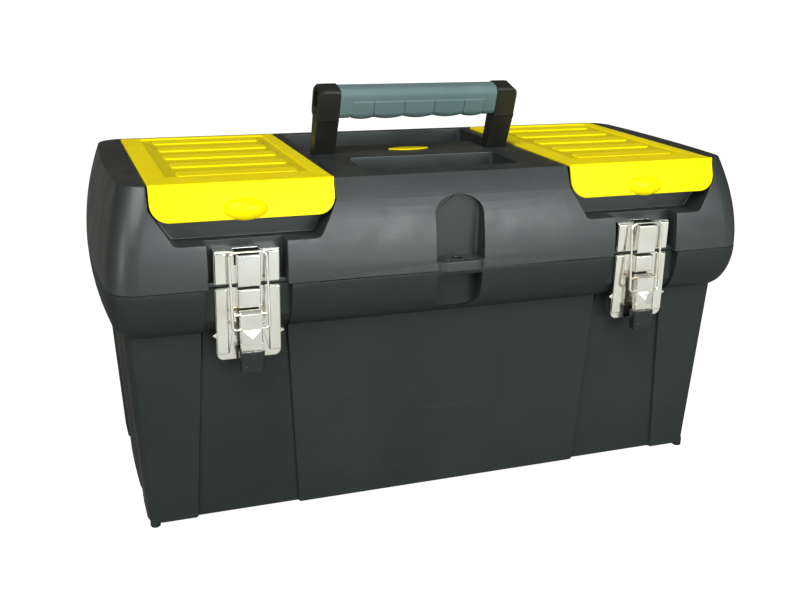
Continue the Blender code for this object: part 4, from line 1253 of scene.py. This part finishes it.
# any moulded plastic or rubber of this toolbox, from its row of values
def makePlastic(name, finish):
    material, tree, shader = newMaterial(name, finish["specular"])
    drift = useGroup(tree, "drift", Scale=finish["driftScale"])
    edgeWearAndLight = useGroup(tree, "edgeWearAndLight", Amount=finish["edgeWearAndLight"])["Mask"]
    dust = useGroup(tree, "dust", Amount=finish["dust"])["Mask"]
    scratch = useGroup(tree, "hairlines", Amount=finish["scratches"])["Mask"]
    colour = mixColours(tree, drift["Cloud"], finish["colour"], finish["shade"])
    # painted shade on the sunk floors between the ribs
    if "grooveShadeTop" in finish:
        colour = mixColours(tree, grooveShadeMask(tree, finish["grooveShadeTop"]), colour, finish["grooveShadeColour"])
    # edge wear, partly a painted highlight along the edges
    colour = mixColours(tree, edgeWearAndLight, colour, finish["edgeWearLightAndScratchColour"])
    colour = mixColours(tree, scratch, colour, finish["edgeWearLightAndScratchColour"])
    colour = mixColours(tree, dust, colour, dustColour)
    tree.links.new(colour, shader.inputs["Base Color"])
    low, high = finish["roughness"]
    patchy = spread(tree, drift["Patch"], 0.0, 1.0, low, high)
    rough = maths(tree, "ADD", patchy, times(tree, dust, 0.5))
    tree.links.new(rough, shader.inputs["Roughness"])
    grain = useGroup(tree, "grain", Scale=finish["grainScale"])["Height"]
    height = maths(tree, "SUBTRACT", grain, scratch)
    bump = addNode(tree, "Bump", {"Height": height, "Strength": finish["grainDepth"], "Distance": 0.0002})
    tree.links.new(bump.outputs["Normal"], shader.inputs["Normal"])
    return material


# painted shade: the sunk floor between the ribs, where the plate looks up and lies below the given height,
# is coloured darker
def grooveShadeMask(tree, height):
    coordinate = addNode(tree, "TexCoord").outputs
    z = addNode(tree, "SeparateXYZ", {"Vector": coordinate["Object"]}).outputs["Z"]
    up = addNode(tree, "SeparateXYZ", {"Vector": coordinate["Normal"]}).outputs["Z"]
    sunk = spread(tree, z, height, height - 0.0004)
    notDeep = spread(tree, z, height - 0.0016, height - 0.001)
    flat = spread(tree, up, 0.8, 0.97)
    return times(tree, times(tree, sunk, notDeep), flat)


# bright plated or plain steel: faint waves from the press, fine marks and a warm film
def makeMetal(name, finish):
    material, tree, shader = newMaterial(name, 0.5, 1.0)
    drift = useGroup(tree, "drift", Scale=finish["driftScale"])
    scratch = useGroup(tree, "hairlines", Amount=finish["scratches"])["Mask"]
    edgeWearAndLight = useGroup(tree, "edgeWearAndLight", Amount=finish["edgeWearAndLight"])["Mask"]
    colour = mixColours(tree, drift["Cloud"], finish["colour"], finish["film"])
    # painted gold reflection that darkens the plate edges, with some wear
    colour = mixColours(tree, edgeWearAndLight, colour, finish["edgeWearLightAndScratchColour"])
    tree.links.new(colour, shader.inputs["Base Color"])
    low, high = finish["roughness"]
    patchy = spread(tree, drift["Patch"], 0.0, 1.0, low, high)
    rough = maths(tree, "ADD", patchy, times(tree, scratch, 0.4))
    tree.links.new(rough, shader.inputs["Roughness"])
    wave = useGroup(tree, "drift", Scale=finish["waveScale"])["Cloud"]
    bump = addNode(tree, "Bump", {"Height": wave, "Strength": finish["waveDepth"], "Distance": 0.0006})
    tree.links.new(bump.outputs["Normal"], shader.inputs["Normal"])
    return material


finishes = {
    "tubPlastic": {
        "colour": (0.012, 0.016, 0.0145), "shade": (0.0165, 0.0205, 0.0185),
        "edgeWearLightAndScratchColour": (0.055, 0.067, 0.063),
        "specular": 0.24, "roughness": (0.42, 0.52), "driftScale": 7.0, "edgeWearAndLight": 0.45, "dust": 0.25,
        "scratches": 0.1, "grainScale": 850.0, "grainDepth": 0.22,
    },
    "lidPlastic": {
        "colour": (0.0165, 0.02, 0.0195), "shade": (0.0235, 0.0275, 0.026),
        "edgeWearLightAndScratchColour": (0.08, 0.092, 0.088),
        "specular": 0.55, "roughness": (0.34, 0.42), "driftScale": 8.0, "edgeWearAndLight": 0.5, "dust": 0.3,
        "scratches": 0.08, "grainScale": 850.0, "grainDepth": 0.2,
    },
    "yellowPlastic": {
        "colour": (0.92, 0.74, 0.0), "shade": (0.88, 0.69, 0.0), "edgeWearLightAndScratchColour": (0.97, 0.84, 0.02),
        "specular": 0.1, "roughness": (0.26, 0.34), "driftScale": 11.0, "edgeWearAndLight": 0.5, "dust": 0.1,
        "scratches": 0.05, "grainScale": 1100.0, "grainDepth": 0.1,
        # the darker yellow is painted shade for the floors between the ribs
        "grooveShadeTop": flapSizes["top"] - 0.0007, "grooveShadeColour": (0.68, 0.55, 0.002),
    },
    "handlePlastic": {
        "colour": (0.0075, 0.008, 0.0066), "shade": (0.011, 0.0112, 0.009),
        "edgeWearLightAndScratchColour": (0.045, 0.045, 0.04),
        "specular": 0.4, "roughness": (0.38, 0.5), "driftScale": 20.0, "edgeWearAndLight": 0.45, "dust": 0.2,
        "scratches": 0.1, "grainScale": 900.0, "grainDepth": 0.2,
    },
    "gripRubber": {
        "colour": (0.098, 0.15, 0.148), "shade": (0.12, 0.172, 0.17), "edgeWearLightAndScratchColour": (0.17, 0.23, 0.23),
        "specular": 0.22, "roughness": (0.55, 0.68), "driftScale": 26.0, "edgeWearAndLight": 0.4, "dust": 0.15,
        "scratches": 0.04, "grainScale": 1300.0, "grainDepth": 0.3,
    },
    "tipRubber": {
        "colour": (0.0095, 0.0105, 0.011), "shade": (0.014, 0.015, 0.0155),
        "edgeWearLightAndScratchColour": (0.05, 0.06, 0.065),
        "specular": 0.4, "roughness": (0.24, 0.34), "driftScale": 60.0, "edgeWearAndLight": 0.3, "dust": 0.04,
        "scratches": 0.05, "grainScale": 1400.0, "grainDepth": 0.03,
    },
    "trayPlastic": {
        "colour": (0.018, 0.02, 0.02), "shade": (0.024, 0.0265, 0.026), "edgeWearLightAndScratchColour": (0.06, 0.066, 0.065),
        "specular": 0.4, "roughness": (0.42, 0.52), "driftScale": 9.0, "edgeWearAndLight": 0.4, "dust": 0.2,
        "scratches": 0.15, "grainScale": 800.0, "grainDepth": 0.25,
    },
}
metalFinishes = {
    "nickelPlate": {
        # the gold edge colour is a painted reflection along the plate edges
        "colour": (0.9, 0.885, 0.83), "film": (0.8, 0.765, 0.68), "edgeWearLightAndScratchColour": (0.7, 0.55, 0.34),
        "roughness": (0.12, 0.2), "driftScale": 34.0, "scratches": 0.25, "edgeWearAndLight": 1.0,
        "waveScale": 30.0, "waveDepth": 0.35,
    },
    "pinSteel": {
        "colour": (0.52, 0.52, 0.51), "film": (0.4, 0.39, 0.37), "edgeWearLightAndScratchColour": (0.66, 0.66, 0.65),
        "roughness": (0.24, 0.36), "driftScale": 90.0, "scratches": 0.6, "edgeWearAndLight": 0.3,
        "waveScale": 60.0, "waveDepth": 0.1,
    },
}
materials = {name: makePlastic(name, finish) for name, finish in finishes.items()}
materials.update({name: makeMetal(name, finish) for name, finish in metalFinishes.items()})
print("finishes made")

makeTub(materials["tubPlastic"])
makeLid(materials["lidPlastic"])
makeFlap(materials["yellowPlastic"])
makeHandle(materials["handlePlastic"], materials["gripRubber"])
makeLatches(materials["nickelPlate"], materials["tipRubber"])
makeBadge(materials["yellowPlastic"])
makeTray(materials["trayPlastic"])

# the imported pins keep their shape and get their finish
for node in ("hinge_pin_left", "hinge_pin_right", "lever_pin_left", "lever_pin_right"):
    finish = "pinSteel" if node.startswith("hinge") else "nickelPlate"
    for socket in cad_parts[node].material_slots:
        socket.material = materials[finish]


# camera, studio and lights
cameraView = {"lens": 45.5, "place": (-0.3431, -0.9231, 0.4755), "yaw": 20.1, "down": 18.2, "roll": 1.2}


def addCamera():
    yaw, down, roll = (math.radians(cameraView[key]) for key in ("yaw", "down", "roll"))
    forward = Vector((math.sin(yaw) * math.cos(down), math.cos(yaw) * math.cos(down), -math.sin(down)))
    level = Vector((math.cos(yaw), -math.sin(yaw), 0))
    upright = level.cross(forward)
    right = math.cos(roll) * level + math.sin(roll) * upright
    up = math.cos(roll) * upright - math.sin(roll) * level
    turn = Matrix((right, up, -forward)).transposed().to_4x4()
    bpy.ops.object.camera_add()
    camera = bpy.context.object
    camera.name = "studioCamera"
    camera.matrix_world = Matrix.Translation(cameraView["place"]) @ turn
    camera.data.lens = cameraView["lens"]
    camera.data.sensor_width = 36
    camera.data.clip_start = 0.01
    bpy.context.scene.camera = camera


studio = {
    "floorHalf": 9.0,
    "backHeight": 0.6,
    "paperInFront": (0.66, 0.66, 0.64),
    "paperBehind": (0.2, 0.19, 0.17),
    "paperGlow": 0.92,
    "sunFrom": (-0.42, -0.62, 0.8),
    "sunPower": 2.6,
    "sunSoftness": 38,
    "roomBehind": (0.075, 0.064, 0.048),
    "roomInFront": (0.52, 0.58, 0.6),
    "softboxColour": (0.9, 1.0, 0.985),
    "softboxes": {
        # place, width, height, power
        "frontLight": ((0.85, -2.75, 0.85), 1.5, 1.1, 42),
        "leftLight": ((-2.6, -1.3, 0.55), 0.35, 1.5, 16),
    },
}


def addFloor():
    deselectAll()
    half = studio["floorHalf"]
    bpy.ops.mesh.primitive_plane_add(size=2 * half, location=(0, 0, -0.0002))
    floor = bpy.context.object
    floor.name = "studioFloor"
    openEdit(floor)
    pickEdges(floor, lambda middle, way: middle.y > half - 1)
    extrude(z=studio["backHeight"])
    pickEdges(floor, lambda middle, way: abs(way.x) > 0.9 and abs(middle.z) < 0.01 and middle.y > half - 1)
    roundPicked(0.5, 12)
    closeEdit()
    activate(floor)
    bpy.ops.object.shade_smooth()
    material, tree, shader = newMaterial("studioPaper", 0.2)
    y = addNode(tree, "SeparateXYZ", {"Vector": addNode(tree, "TexCoord").outputs["Object"]}).outputs["Y"]
    # paper darker behind: painted shade that only reflections and bounced light see; to the camera the
    # paper glows white
    paper = mixColours(tree, spread(tree, y, -0.45, 0.05), studio["paperInFront"], studio["paperBehind"])
    tree.links.new(paper, shader.inputs["Base Color"])
    shader.inputs["Roughness"].default_value = 0.9
    shader.inputs["Emission Color"].default_value = (1, 1, 1, 1)
    direct = addNode(tree, "LightPath").outputs["Is Camera Ray"]
    tree.links.new(times(tree, direct, studio["paperGlow"]), shader.inputs["Emission Strength"])
    floor.data.materials.append(material)


def aimFrom(spot):
    return (Vector((0, 0, 0.18)) - Vector(spot)).to_track_quat("-Z", "Y").to_euler()


def addLights():
    bpy.ops.object.light_add(type="SUN", location=studio["sunFrom"])
    sun = bpy.context.object
    sun.name = "ceilingLight"
    sun.data.energy = studio["sunPower"]
    sun.data.angle = math.radians(studio["sunSoftness"])
    sun.rotation_euler = (-Vector(studio["sunFrom"])).to_track_quat("-Z", "Y").to_euler()
    for name, (spot, width, height, power) in studio["softboxes"].items():
        bpy.ops.object.light_add(type="AREA", location=spot)
        light = bpy.context.object
        light.name = name
        light.data.shape = "RECTANGLE"
        light.data.size = width
        light.data.size_y = height
        light.data.energy = power
        light.data.color = studio["softboxColour"]
        light.rotation_euler = aimFrom(spot)


# a dim warm room behind, a lighter one in front
def addWorld():
    world = bpy.data.worlds.new("studioWorld")
    world.use_nodes = True
    tree = world.node_tree
    way = addNode(tree, "SeparateXYZ", {"Vector": addNode(tree, "TexCoord").outputs["Generated"]}).outputs
    front = spread(tree, way["Y"], 0.25, -0.75)
    room = mixColours(tree, front, studio["roomBehind"], studio["roomInFront"])
    tree.links.new(room, tree.nodes["Background"].inputs["Color"])
    bpy.context.scene.world = world
    bpy.context.scene.view_settings.view_transform = "Standard"


addCamera()
addFloor()
addLights()
addWorld()
print("studio ready")
